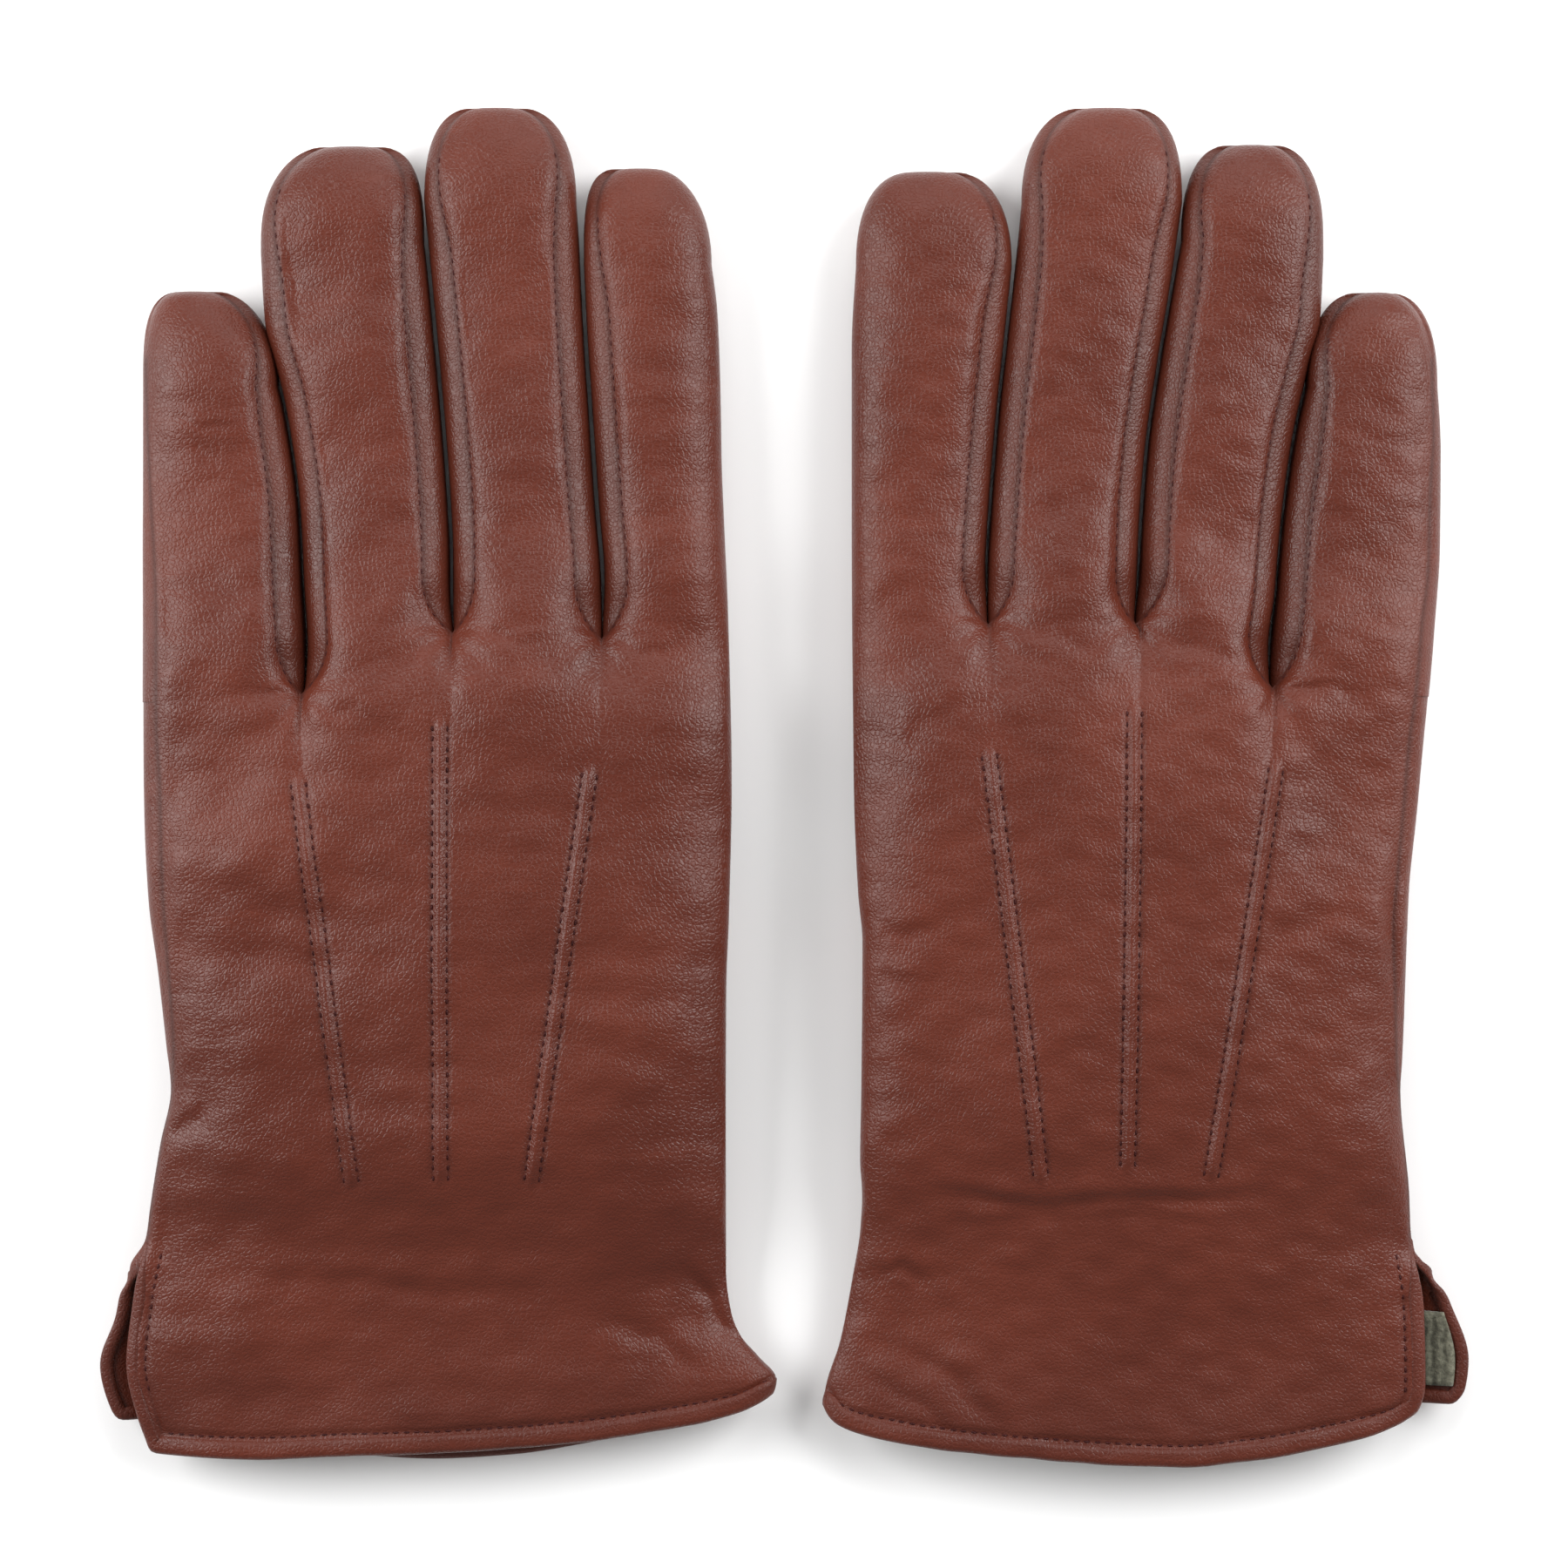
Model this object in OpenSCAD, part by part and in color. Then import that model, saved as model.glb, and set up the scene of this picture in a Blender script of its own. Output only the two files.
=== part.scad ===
// A pair of men's lined leather dress gloves, lying flat side by side, backs up.
// Row frame: origin under the centre of the pair, +Z up, +Y to the fingertips,
// +X to the right-hand glove. One glove is described little finger at -X,
// index finger at +X, and the right-hand glove is its mirror image.
// The section across a finger is measured along w, and its length along s,
// a frame that leans by finger_lean towards the little finger.

/* [Overall] */
// Length from the middle fingertip to the hem, mm
glove_length = 250; // [220:1:275]
// Width across the flat hand at the knuckles, mm
glove_width = 107.3; // [92:0.1:118]
// Distance between the centre lines of the two gloves, mm
pair_spacing = 129; // [127:0.5:160]

/* [Leather and lining] */
// Thickness of the leather, mm
leather = 0.9; // [0.6:0.05:1.1]
// Thickness of the knitted lining, mm
lining = 0.75; // [0.5:0.05:1]
// Clearance between the leather and the lining, mm
slip = 0.15; // [0.1:0.01:0.25]
// Extra thickness of the turned hem on each face, mm
hem_extra = 0.35; // [0.1:0.05:0.6]
// Width of the turned hem, mm
hem_width = 3; // [2:0.25:5]

/* [Fingers] */
// Lean of all four fingers towards the little finger, degrees
finger_lean = 4.2; // [0:0.1:8]
// Gap between neighbouring fingers, mm
finger_gap = 0.8; // [0.6:0.05:1.6]
// Full height of a finger lying flat, mm
finger_height = 15; // [12:0.25:18]
// Length of the rounded fingertip, mm
tip_length = 15; // [10:0.5:20]
// Seam position across a finger, share of its half width
seam_share = 0.7; // [0.6:0.01:0.8]

/* [Knuckle fold] */
// Gap left beside each knuckle axis, mm
fold_gap = 0.3; // [0.2:0.05:0.6]
// Half opening of the fold on the back of the hand, degrees
back_relief = 13.5; // [10:0.5:20]
// Half opening of the fold on the palm side, degrees
palm_relief = 36; // [25:0.5:45]

/* [Thumb] */
// Length of the folded thumb, mm
thumb_length = 62; // [54:0.5:68]
// Width of the folded thumb, mm
thumb_width = 27; // [22:0.5:30]
// Height of the folded thumb, mm
thumb_height = 8.2; // [7:0.1:8.6]

/* [Hand] */
// Height of the back of the hand above the table, mm
hand_height = 22; // [20:0.5:26]
// Height of the flat cuff, mm
cuff_height = 13; // [10:0.5:16]
// Length of the vent at the little-finger side, mm
vent_length = 30; // [15:1:40]
// Height of each of the three stitched points, mm
rib_height = 0.8; // [0.4:0.05:1.2]

/* [Hidden] */
kx = glove_width / 107.3;
ky = glove_length / 250;
half_pair = pair_spacing / 2;
curve = 2.4;             // roundness of every section
b_f = finger_height / 2;
sink = 0.25;             // how far a section reaches into its flat underside
z_hinge = b_f - sink;
tip_blunt = 0.42;        // share of the width left at the very tip
tip_droop = 1.6;
hem_y = -125 * ky;
thumb_axis_x = 55.2 * kx;
thumb_root_x = 54.6 * kx;
thumb_root_y = -42 * ky;
thumb_turn = 136;        // direction of the thumb, degrees from +X
thumb_clear = 1.3;       // space between the folded thumb and the palm
seam_step = 0.02;        // half gap between the two faces of the hand lining
lining_in = leather + slip;
lining_out = lining_in + lining;
gusset_z = [2.7, 11.5];  // bottom and top of the wall between the little and ring fingers

// Fingers: w of left and right edge at the root, the same at the tip, s of the tip, s of the knuckle
g2 = finger_gap / 2;
w_lr = -22.9 * kx;
w_rm = 4.6 * kx;
w_mi = 32.4 * kx;
LITTLE = [-52.2 * kx, w_lr - g2, -47.6 * kx, w_lr - g2, 94 * ky, 23 * ky];
RING = [w_lr + g2, w_rm - g2, w_lr + g2, w_rm - g2, 119.1 * ky, 35 * ky];
MIDDLE = [w_rm + g2, w_mi - g2, w_rm + g2, w_mi - g2, 123.6 * ky, 35 * ky];
INDEX = [w_mi + g2, 56.2 * kx, w_mi + g2, 58 * kx, 110.5 * ky, 35 * ky];

// Edges of the hand and heights of its section, along y
LEFT_EDGE = [[-125, -60], [-115, -60.5], [-105, -58], [-95, -55], [-85, -52.5], [-70, -49.4], [-56, -48.5],
             [-38, -49.8], [-20, -51.8], [0, -52.8], [17, -53.4], [25, -53.6]];
RIGHT_EDGE = [[-125, 59], [-112, 60], [-105, 56.6], [-96, 53.6], [-85, 52.6], [-56, 52.2], [-20, 53.0],
              [17, 53.7], [34, 54.0]];
MID_Z = [[-125, 0.5], [-85, 0.51], [-62, 0.51], [-20, 0.53], [16, 0.54], [27, 0.5], [36, 0.49]];
TOP_SHARE = [[-125, 0], [-100, 0.06], [-85, 0.25], [-62, 0.9], [-20, 1], [12, 0.98], [24, 0.42], [36, 0.22]];

function soft(t) = let (c = min(1, max(0, t))) c * c * (3 - 2 * c);
function lerp(a, b, t) = a + (b - a) * t;
function arch(u) = pow(max(0, 1 - pow(abs(u), curve)), 1 / curve);
function x_of(w, s) = w * cos(finger_lean) - s * sin(finger_lean);
function y_of(w, s) = w * sin(finger_lean) + s * cos(finger_lean);

// ---- fingers ----
tip_rows = [1.4, 1.65, 1.85, 1.95, 2];
body_rows = [0, 0.25, 0.5, 0.75, 1];
skin_rows = concat(body_rows, tip_rows);
side_rows = [for (r = skin_rows) if (r < 1.99) r];
panel_columns = 6;

function relief(z) = fold_gap + abs(z - z_hinge) * tan(z > z_hinge ? back_relief : palm_relief);
function tip_t(r) = max(0, r - 1);
function tip_b(t) = t > 0.999 ? 0 : pow(1 - pow(t, 3), 1 / 3);
function tip_a(t) = tip_blunt + (1 - tip_blunt) * pow(max(0, 1 - pow(t, 2.6)), 1 / 2.6);
function seam_u(r) = lerp(seam_share, 0.94, soft((r - 0.45) / 1.3));

// One point of a finger: f finger, r row, off inward offset, u across, up +1 back or -1 palm
function finger_point(f, r, off, u, up) =
  let (t = tip_t(r),
       st = f[4] - tip_length,
       b = max(b_f * tip_b(t) - off, 0),
       zc = z_hinge - tip_droop * t * t,
       zr = zc + up * b * arch(u),
       z = up > 0 ? zr : max(zr, min(off, zc)),
       s0 = f[5] + relief(z),
       s = (r <= 1 ? lerp(s0, st, r) : st + (tip_length - 1.3 * off) * t),
       g = (s - f[5]) / (f[4] - f[5]),
       wl = lerp(f[0], f[2], g) + off,
       wr = lerp(f[1], f[3], g) - off,
       w = (wl + wr) / 2 + u * (wr - wl) / 2 * tip_a(t))
  [x_of(w, s), y_of(w, s), z];

// u of the seam side: +1 or -1 where the panel runs to the edge, else the seam
function back_us(r, lo, hi) =
  let (a = lo ? -seam_u(r) : -1, b = hi ? seam_u(r) : 1)
  [for (j = [0:panel_columns]) lerp(a, b, (1 - cos(180 * j / panel_columns)) / 2)];
function side_point(f, r, off, q, right) =
  let (hs = arch(seam_u(r)) * q, u = pow(max(0, 1 - pow(abs(hs), curve)), 1 / curve))
  finger_point(f, r, off, right * (abs(q) > 0.999 ? seam_u(r) : u), q >= 0 ? 1 : -1);

function strip_faces(ni, nj, base, flip) =
  [for (i = [0:ni - 2], j = [0:nj - 2])
    let (a = base + i * nj + j, b = a + nj)
    each (flip ? [[a, b + 1, b], [a, a + 1, b + 1]] : [[a, b, b + 1], [a, b + 1, a + 1]])];

// A sheet of leather or cloth between an outer and an inner grid of points.
// Columns x rows point outwards, so walls round the four edges close it.
module sheet(po, pi) {
  ni = len(po);
  nj = len(po[0]);
  n = ni * nj;
  pts = concat([for (r = po) each r], [for (r = pi) each r]);
  last = (ni - 1) * nj;
  walls = concat(
    [for (j = [0:nj - 2]) each [[j, j + 1, n + j + 1], [j, n + j + 1, n + j]]],
    [for (j = [0:nj - 2]) let (a = last + j) each [[a, n + a, n + a + 1], [a, n + a + 1, a + 1]]],
    [for (i = [0:ni - 2]) let (a = i * nj, b = a + nj) each [[a, n + a, n + b], [a, n + b, b]]],
    [for (i = [0:ni - 2]) let (a = i * nj + nj - 1, b = a + nj) each [[a, b, n + b], [a, n + b, n + a]]]);
  polyhedron(pts, concat(strip_faces(ni, nj, 0, false), strip_faces(ni, nj, n, true), walls));
}

// A tube between an outer and an inner grid of points that close round the columns.
module tube(po, pi) {
  ni = len(po);
  nj = len(po[0]);
  n = ni * nj;
  pts = concat([for (r = po) each r], [for (r = pi) each r]);
  last = (ni - 1) * nj;
  skins = [for (i = [0:ni - 2], j = [0:nj - 1])
    let (k = (j + 1) % nj, a = i * nj + j, b = a + nj, c = i * nj + k, d = c + nj)
    each [[a, b, d], [a, d, c], [n + a, n + d, n + b], [n + a, n + c, n + d]]];
  ends = [for (j = [0:nj - 1]) let (k = (j + 1) % nj, a = last + j, c = last + k)
    each [[j, k, n + k], [j, n + k, n + j], [a, n + a, n + c], [a, n + c, c]]];
  polyhedron(pts, concat(skins, ends));
}

module finger_back(f, lo, hi) {
  function skin(off) = [for (r = skin_rows) [for (u = back_us(r, lo, hi)) finger_point(f, r, off, u, 1)]];
  sheet(skin(0), skin(leather));
}

module finger_palm(f, lo, hi) {
  function skin(off) =
    [for (r = skin_rows)
      let (us = back_us(r, lo, hi))
      [for (j = [panel_columns:-1:0]) finger_point(f, r, off, us[j], -1)]];
  sheet(skin(0), skin(leather));
}

module fourchette(f, right) {
  q = right > 0 ? [1, 0, -1] : [-1, 0, 1];
  sheet([for (r = side_rows) [for (k = q) side_point(f, r, 0, k, right)]],
        [for (r = side_rows) [for (k = q) side_point(f, r, leather, k, right)]]);
}

// Round one section of a finger: back, high side, palm, low side, with the panels' own columns
function finger_ring(f, r, off, lo, hi) =
  let (us = back_us(r, lo, hi), n = panel_columns)
  concat([for (u = us) finger_point(f, r, off, u, 1)],
         hi ? [side_point(f, r, off, 0, 1)] : [],
         [for (j = [hi ? n : n - 1:-1:lo ? 0 : 1]) finger_point(f, r, off, us[j], -1)],
         lo ? [side_point(f, r, off, 0, -1)] : []);

module finger_lining(f, lo, hi) {
  tube([for (r = side_rows) finger_ring(f, r, lining_in, lo, hi)],
       [for (r = side_rows) finger_ring(f, r, lining_out, lo, hi)]);
}

// ---- hand ----
function y_look(tab, y) = lookup(y / ky, tab);
function top_z(y) = lerp(cuff_height, hand_height, y_look(TOP_SHARE, y));
function mid_z(y) = top_z(y) * y_look(MID_Z, y);
function vent(u, y) = u < 0 ? soft((hem_y + vent_length - y) / 8) * soft(-u * 2) : 0;
function hand_x(u, y, palm) =
  let (l = kx * y_look(LEFT_EDGE, y) - (palm ? 2.5 : 0) * vent(-1, y), r = kx * y_look(RIGHT_EDGE, y))
  (l + r) / 2 + u * (r - l) / 2;

// How far the palm is lifted over the folded thumb
function seg_dist(x, y) =
  let (a = [thumb_root_x, thumb_root_y], d = [cos(thumb_turn), sin(thumb_turn)],
       t = min(thumb_length - thumb_width / 2, max(0, (x - a[0]) * d[0] + (y - a[1]) * d[1])))
  norm([x - a[0] - d[0] * t, y - a[1] - d[1] * t]);
function lifted(x, y) =
  (thumb_height + thumb_clear) * (1 - soft((seg_dist(x, y) - thumb_width / 2 - 5) / 13));

function hem_curve(u) =
  hem_y + ky * (2.5 * pow(max(0, -0.3 - u) / 0.7, 2) + 14 * pow(max(0, u + 0.3) / 1.3, 2.6));
// Front edge of the hand at the knuckle folds, stepped at the little finger
function front_y(u, up) =
  let (yn = 30 * ky,
       x = hand_x(u, yn, false),
       z = up > 0 ? mid_z(yn) + (top_z(yn) - mid_z(yn)) * arch(u) : mid_z(yn) * (1 - arch(u)),
       s = (u < split_u ? LITTLE[5] : RING[5]) - relief(z))
  (s + x * sin(finger_lean)) / cos(finger_lean);

split_x = x_of(w_lr, 26 * ky);
root_x = hand_x(0, 30 * ky, false);
split_u = (split_x - root_x) / (hand_x(1, 30 * ky, false) - root_x);
hand_us = [-1, -0.985, -0.94, -0.86, -0.74, -0.6, split_u - 0.008, split_u + 0.008, -0.33, -0.18, -0.02,
           0.14, 0.3, 0.46, 0.62, 0.76, 0.88, 0.96, 1];
hand_rows = [0.02, 0.07, 0.12, 0.17, 0.23, 0.3, 0.38, 0.46, 0.54, 0.62, 0.7, 0.78, 0.85, 0.92, 1];

// One point of the hand: v row, -1 the hem and 0 the hem's inner edge, off inward offset
function hand_point(u, v, off, up) =
  let (yh = hem_curve(u) + (v < 0 ? 0 : hem_width),
       y = v <= 0 ? yh : lerp(yh, front_y(u, up), v),
       palm = up < 0,
       x0 = hand_x(u, y, palm),
       a = (hand_x(1, y, palm) - hand_x(-1, y, palm)) / 2,
       x = hand_x(0, y, palm) + (x0 - hand_x(0, y, palm)) * (a - off) / a,
       zm = mid_z(y),
       edge = 1.5 * vent(u, y) * (1 - arch(u)),
       zt = zm + (top_z(y) - zm) * arch(u) + edge,
       zb = max(zm - (zm - lifted(x0, y) + sink) * arch(u) - edge, 0),
       z = up > 0 ? max(zt - off, zm) : min(zb + off, zm))
  [x, y, max(z, 0)];

module hand_back(rows, off_out, off_in, lift = 0) {
  sheet([for (v = rows) [for (u = hand_us) hand_point(u, v, off_out, 1) + [0, 0, lift]]],
        [for (v = rows) [for (u = hand_us) hand_point(u, v, off_in, 1) + [0, 0, lift]]]);
}

module hand_palm(rows, off_out, off_in, lift = 0) {
  m = len(hand_us) - 1;
  sheet([for (v = rows) [for (j = [m:-1:0]) hand_point(hand_us[j], v, off_out, -1) - [0, 0, lift]]],
        [for (v = rows) [for (j = [m:-1:0]) hand_point(hand_us[j], v, off_in, -1) - [0, 0, lift]]]);
}

// Height of the back of the hand at a plan point
function back_z(x, y) =
  let (c = hand_x(0, y, false), u = (x - c) / (hand_x(1, y, false) - c))
  mid_z(y) + (top_z(y) - mid_z(y)) * arch(u);

// A thin strip lying on the back of the hand from a to b
module back_strip(a, b, width, height, n = 8) {
  d = (b - a) / norm(b - a);
  e = [d[1], -d[0]] * width / 2;
  rows = [for (i = [0:n]) a + (b - a) * i / n];
  base = 0.35;
  sheet([for (p = rows) [for (k = [-1, 0, 1]) let (q = p + e * k)
          [q[0], q[1], back_z(q[0], q[1]) + height * (k == 0 ? 1 : 0.35)]]],
        [for (p = rows) [for (k = [-1, 0, 1]) let (q = p + e * k) [q[0], q[1], back_z(q[0], q[1]) - base]]]);
}

POINTS = [[[-13.8, -71.3], [-24.2, 2]], [[2.1, -70.5], [1.6, 12]], [[18.1, -72], [28.2, 4]]];
function plan(p) = [p[0] * kx, p[1] * ky];

// ---- thumb ----
thumb_b = thumb_height / 2;
least_gap = 0.15;        // half height of the slit left at the end of the thumb
thumb_droop = 0.3;       // how far the thumb's side seam sinks along its length
thumb_rows = [0, 0.3, 0.65, 1, 1.4, 1.7, 1.9, 1.98];
function thumb_point(r, off, u, up) =
  let (t = tip_t(r),
       st = thumb_length - thumb_width / 2,
       s = r <= 1 ? st * r : st + (thumb_width / 2 - 1.3 * off) * t,
       d = [cos(thumb_turn), sin(thumb_turn)],
       k = 1 - soft(s / 22),
       across = [d[1], -d[0]] * (1 - k) + [0, 1] * k,
       half = (thumb_width / 2 * (1 + 0.22 * k) - off) * tip_a(t),
       b = max(thumb_b * tip_b(t) - off, least_gap),
       zc = thumb_b - sink - thumb_droop * (t * t + s / thumb_length),
       zr = zc + up * b * arch(u),
       c = [thumb_root_x, thumb_root_y] + d * s + across * half * u)
  [c[0], c[1], up > 0 ? zr : max(zr, min(off, zc))];

function ring_us(n) = [for (j = [0:n]) -cos(180 * j / n)];
module thumb_tube(off_out, off_in, last) {
  n = 8;
  rows = [for (r = thumb_rows) if (r < last) r];
  function ring(r, off) = concat([for (u = ring_us(n)) thumb_point(r, off, u, 1)],
                                 [for (j = [n - 1:-1:1]) thumb_point(r, off, ring_us(n)[j], -1)]);
  tube([for (r = rows) ring(r, off_out)], [for (r = rows) ring(r, off_in)]);
}

// ---- pieces of one glove, shared by both hands ----
panel_rows = concat([0], hand_rows);
module g_back_panel() { hand_back(panel_rows, 0, leather); }
module g_palm_panel() { hand_palm(panel_rows, 0, leather); }
module g_back_hem() { hand_back([-1, 0], -hem_extra, leather + hem_extra); }
module g_palm_hem() { hand_palm([-1, 0], -hem_extra, leather + hem_extra); }
module g_hand_lining() {
  hand_back(panel_rows, lining_in, lining_out, seam_step);
  hand_palm(panel_rows, lining_in, lining_out, seam_step);
}
module g_crotch_gusset() {
  w0 = w_lr + g2;
  ends = [LITTLE[5] - 3.5, RING[5] - 5.5];
  function wall(w) = [for (s = ends) [for (z = gusset_z) [x_of(w, s), y_of(w, s), z]]];
  sheet(wall(w0), wall(w0 + leather));
}
module g_points() {
  for (p = POINTS) back_strip(plan(p[0]), plan(p[1]), 2, rib_height);
}
module g_stitching() {
  for (p = POINTS, k = [-1.4, 1.4]) {
    d = [p[1][0] - p[0][0], p[1][1] - p[0][1]];
    e = [d[1], -d[0]] / norm(d) * k;
    back_strip(plan(p[0]) + e, plan(p[1]) + e, 0.5, 0.3);
  }
}

NAMES = ["back_panel", "palm_panel", "back_hem", "palm_hem", "hand_lining", "crotch_gusset", "points", "stitching",
         "index_back", "index_palm", "index_fourchette", "index_lining",
         "middle_back", "middle_palm", "middle_fourchette_in", "middle_fourchette_out", "middle_lining",
         "ring_back", "ring_palm", "ring_fourchette_in", "ring_fourchette_out", "ring_lining",
         "little_back", "little_palm", "little_fourchette", "little_lining",
         "thumb_leather", "thumb_lining"];

hide = [0.49, 0.28, 0.22];
hide2 = [0.42, 0.23, 0.18];
trim = [0.38, 0.2, 0.16];
knit = [0.42, 0.43, 0.36];
thread = [0.25, 0.08, 0.07];
module left() { translate([-half_pair, 0, 0]) children(); }
module right() { translate([half_pair, 0, 0]) mirror([1, 0, 0]) children(); }

module left_back_panel() { color(hide) left() g_back_panel(); }
module left_palm_panel() { color(hide2) left() g_palm_panel(); }
module left_back_hem() { color(trim) left() g_back_hem(); }
module left_palm_hem() { color(trim) left() g_palm_hem(); }
module left_hand_lining() { color(knit) left() g_hand_lining(); }
module left_crotch_gusset() { color(hide2) left() g_crotch_gusset(); }
module left_points() { color(trim) left() g_points(); }
module left_stitching() { color(thread) left() g_stitching(); }
module left_index_back() { color(hide) left() finger_back(INDEX, true, false); }
module left_index_palm() { color(hide2) left() finger_palm(INDEX, true, false); }
module left_index_fourchette() { color(hide2) left() fourchette(INDEX, -1); }
module left_index_lining() { color(knit) left() finger_lining(INDEX, true, false); }
module left_middle_back() { color(hide) left() finger_back(MIDDLE, true, true); }
module left_middle_palm() { color(hide2) left() finger_palm(MIDDLE, true, true); }
module left_middle_fourchette_in() { color(hide2) left() fourchette(MIDDLE, 1); }
module left_middle_fourchette_out() { color(hide2) left() fourchette(MIDDLE, -1); }
module left_middle_lining() { color(knit) left() finger_lining(MIDDLE, true, true); }
module left_ring_back() { color(hide) left() finger_back(RING, true, true); }
module left_ring_palm() { color(hide2) left() finger_palm(RING, true, true); }
module left_ring_fourchette_in() { color(hide2) left() fourchette(RING, 1); }
module left_ring_fourchette_out() { color(hide2) left() fourchette(RING, -1); }
module left_ring_lining() { color(knit) left() finger_lining(RING, true, true); }
module left_little_back() { color(hide) left() finger_back(LITTLE, false, true); }
module left_little_palm() { color(hide2) left() finger_palm(LITTLE, false, true); }
module left_little_fourchette() { color(hide2) left() fourchette(LITTLE, 1); }
module left_little_lining() { color(knit) left() finger_lining(LITTLE, false, true); }
module left_thumb_leather() { color(hide2) left() thumb_tube(0, leather, 2); }
module left_thumb_lining() { color(knit) left() thumb_tube(lining_in, lining_out, 1.95); }

module right_back_panel() { color(hide) right() g_back_panel(); }
module right_palm_panel() { color(hide2) right() g_palm_panel(); }
module right_back_hem() { color(trim) right() g_back_hem(); }
module right_palm_hem() { color(trim) right() g_palm_hem(); }
module right_hand_lining() { color(knit) right() g_hand_lining(); }
module right_crotch_gusset() { color(hide2) right() g_crotch_gusset(); }
module right_points() { color(trim) right() g_points(); }
module right_stitching() { color(thread) right() g_stitching(); }
module right_index_back() { color(hide) right() finger_back(INDEX, true, false); }
module right_index_palm() { color(hide2) right() finger_palm(INDEX, true, false); }
module right_index_fourchette() { color(hide2) right() fourchette(INDEX, -1); }
module right_index_lining() { color(knit) right() finger_lining(INDEX, true, false); }
module right_middle_back() { color(hide) right() finger_back(MIDDLE, true, true); }
module right_middle_palm() { color(hide2) right() finger_palm(MIDDLE, true, true); }
module right_middle_fourchette_in() { color(hide2) right() fourchette(MIDDLE, 1); }
module right_middle_fourchette_out() { color(hide2) right() fourchette(MIDDLE, -1); }
module right_middle_lining() { color(knit) right() finger_lining(MIDDLE, true, true); }
module right_ring_back() { color(hide) right() finger_back(RING, true, true); }
module right_ring_palm() { color(hide2) right() finger_palm(RING, true, true); }
module right_ring_fourchette_in() { color(hide2) right() fourchette(RING, 1); }
module right_ring_fourchette_out() { color(hide2) right() fourchette(RING, -1); }
module right_ring_lining() { color(knit) right() finger_lining(RING, true, true); }
module right_little_back() { color(hide) right() finger_back(LITTLE, false, true); }
module right_little_palm() { color(hide2) right() finger_palm(LITTLE, false, true); }
module right_little_fourchette() { color(hide2) right() fourchette(LITTLE, 1); }
module right_little_lining() { color(knit) right() finger_lining(LITTLE, false, true); }
module right_thumb_leather() { color(hide2) right() thumb_tube(0, leather, 2); }
module right_thumb_lining() { color(knit) right() thumb_tube(lining_in, lining_out, 1.95); }

left_back_panel();
left_palm_panel();
left_back_hem();
left_palm_hem();
left_hand_lining();
left_crotch_gusset();
left_points();
left_stitching();
left_index_back();
left_index_palm();
left_index_fourchette();
left_index_lining();
left_middle_back();
left_middle_palm();
left_middle_fourchette_in();
left_middle_fourchette_out();
left_middle_lining();
left_ring_back();
left_ring_palm();
left_ring_fourchette_in();
left_ring_fourchette_out();
left_ring_lining();
left_little_back();
left_little_palm();
left_little_fourchette();
left_little_lining();
left_thumb_leather();
left_thumb_lining();
right_back_panel();
right_palm_panel();
right_back_hem();
right_palm_hem();
right_hand_lining();
right_crotch_gusset();
right_points();
right_stitching();
right_index_back();
right_index_palm();
right_index_fourchette();
right_index_lining();
right_middle_back();
right_middle_palm();
right_middle_fourchette_in();
right_middle_fourchette_out();
right_middle_lining();
right_ring_back();
right_ring_palm();
right_ring_fourchette_in();
right_ring_fourchette_out();
right_ring_lining();
right_little_back();
right_little_palm();
right_little_fourchette();
right_little_lining();
right_thumb_leather();
right_thumb_lining();
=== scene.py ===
"""A pair of lined leather dress gloves on a pale floor, built as sewn sheets of leather.

Each glove is described in its own plan frame, in millimetres: x grows from the little finger to the
index finger, y from the cuff to the fingertips, z up. place() puts it in the row frame in metres.
"""
import math
import bpy
import numpy as np
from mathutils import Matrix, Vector
from mathutils.bvhtree import BVHTree


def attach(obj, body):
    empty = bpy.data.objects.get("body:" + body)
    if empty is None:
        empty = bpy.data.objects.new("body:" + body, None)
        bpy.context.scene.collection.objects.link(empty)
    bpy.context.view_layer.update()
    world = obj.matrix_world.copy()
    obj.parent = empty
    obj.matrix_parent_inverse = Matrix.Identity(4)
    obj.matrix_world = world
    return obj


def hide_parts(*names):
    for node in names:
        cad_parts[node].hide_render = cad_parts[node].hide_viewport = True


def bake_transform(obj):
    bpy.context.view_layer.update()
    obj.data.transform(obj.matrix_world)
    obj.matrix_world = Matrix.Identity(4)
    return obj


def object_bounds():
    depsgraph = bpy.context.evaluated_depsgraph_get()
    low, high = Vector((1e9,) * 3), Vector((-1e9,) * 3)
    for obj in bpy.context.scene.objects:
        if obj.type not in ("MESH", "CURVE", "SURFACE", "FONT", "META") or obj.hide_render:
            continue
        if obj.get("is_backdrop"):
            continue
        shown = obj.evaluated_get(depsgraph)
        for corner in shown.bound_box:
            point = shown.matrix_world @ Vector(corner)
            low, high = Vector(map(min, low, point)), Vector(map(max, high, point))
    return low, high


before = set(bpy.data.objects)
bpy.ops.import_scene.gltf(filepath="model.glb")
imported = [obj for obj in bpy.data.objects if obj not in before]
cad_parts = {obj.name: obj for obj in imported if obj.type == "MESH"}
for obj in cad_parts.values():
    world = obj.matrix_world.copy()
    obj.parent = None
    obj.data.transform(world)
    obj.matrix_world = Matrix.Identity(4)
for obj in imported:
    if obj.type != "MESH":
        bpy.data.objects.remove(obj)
cad_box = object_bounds()

MM = 0.001
LEATHER = 0.9
LINING = 0.9           # the knit with its raised nap
LINING_GAP = 0.7       # from the leather's inner face to the lining
ROUND = 2.4            # roundness of every section, as in the CAD model
HALF_PAIR = 64.5       # from the middle of the pair to the middle of a glove
HEM_ROW = 3.3          # the row of stitches, from the free edge
RIB_ROW = 1.35         # each row of a point's stitches, from its ridge
VENT_TOP = -84.0
rng = np.random.default_rng(7)


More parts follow.
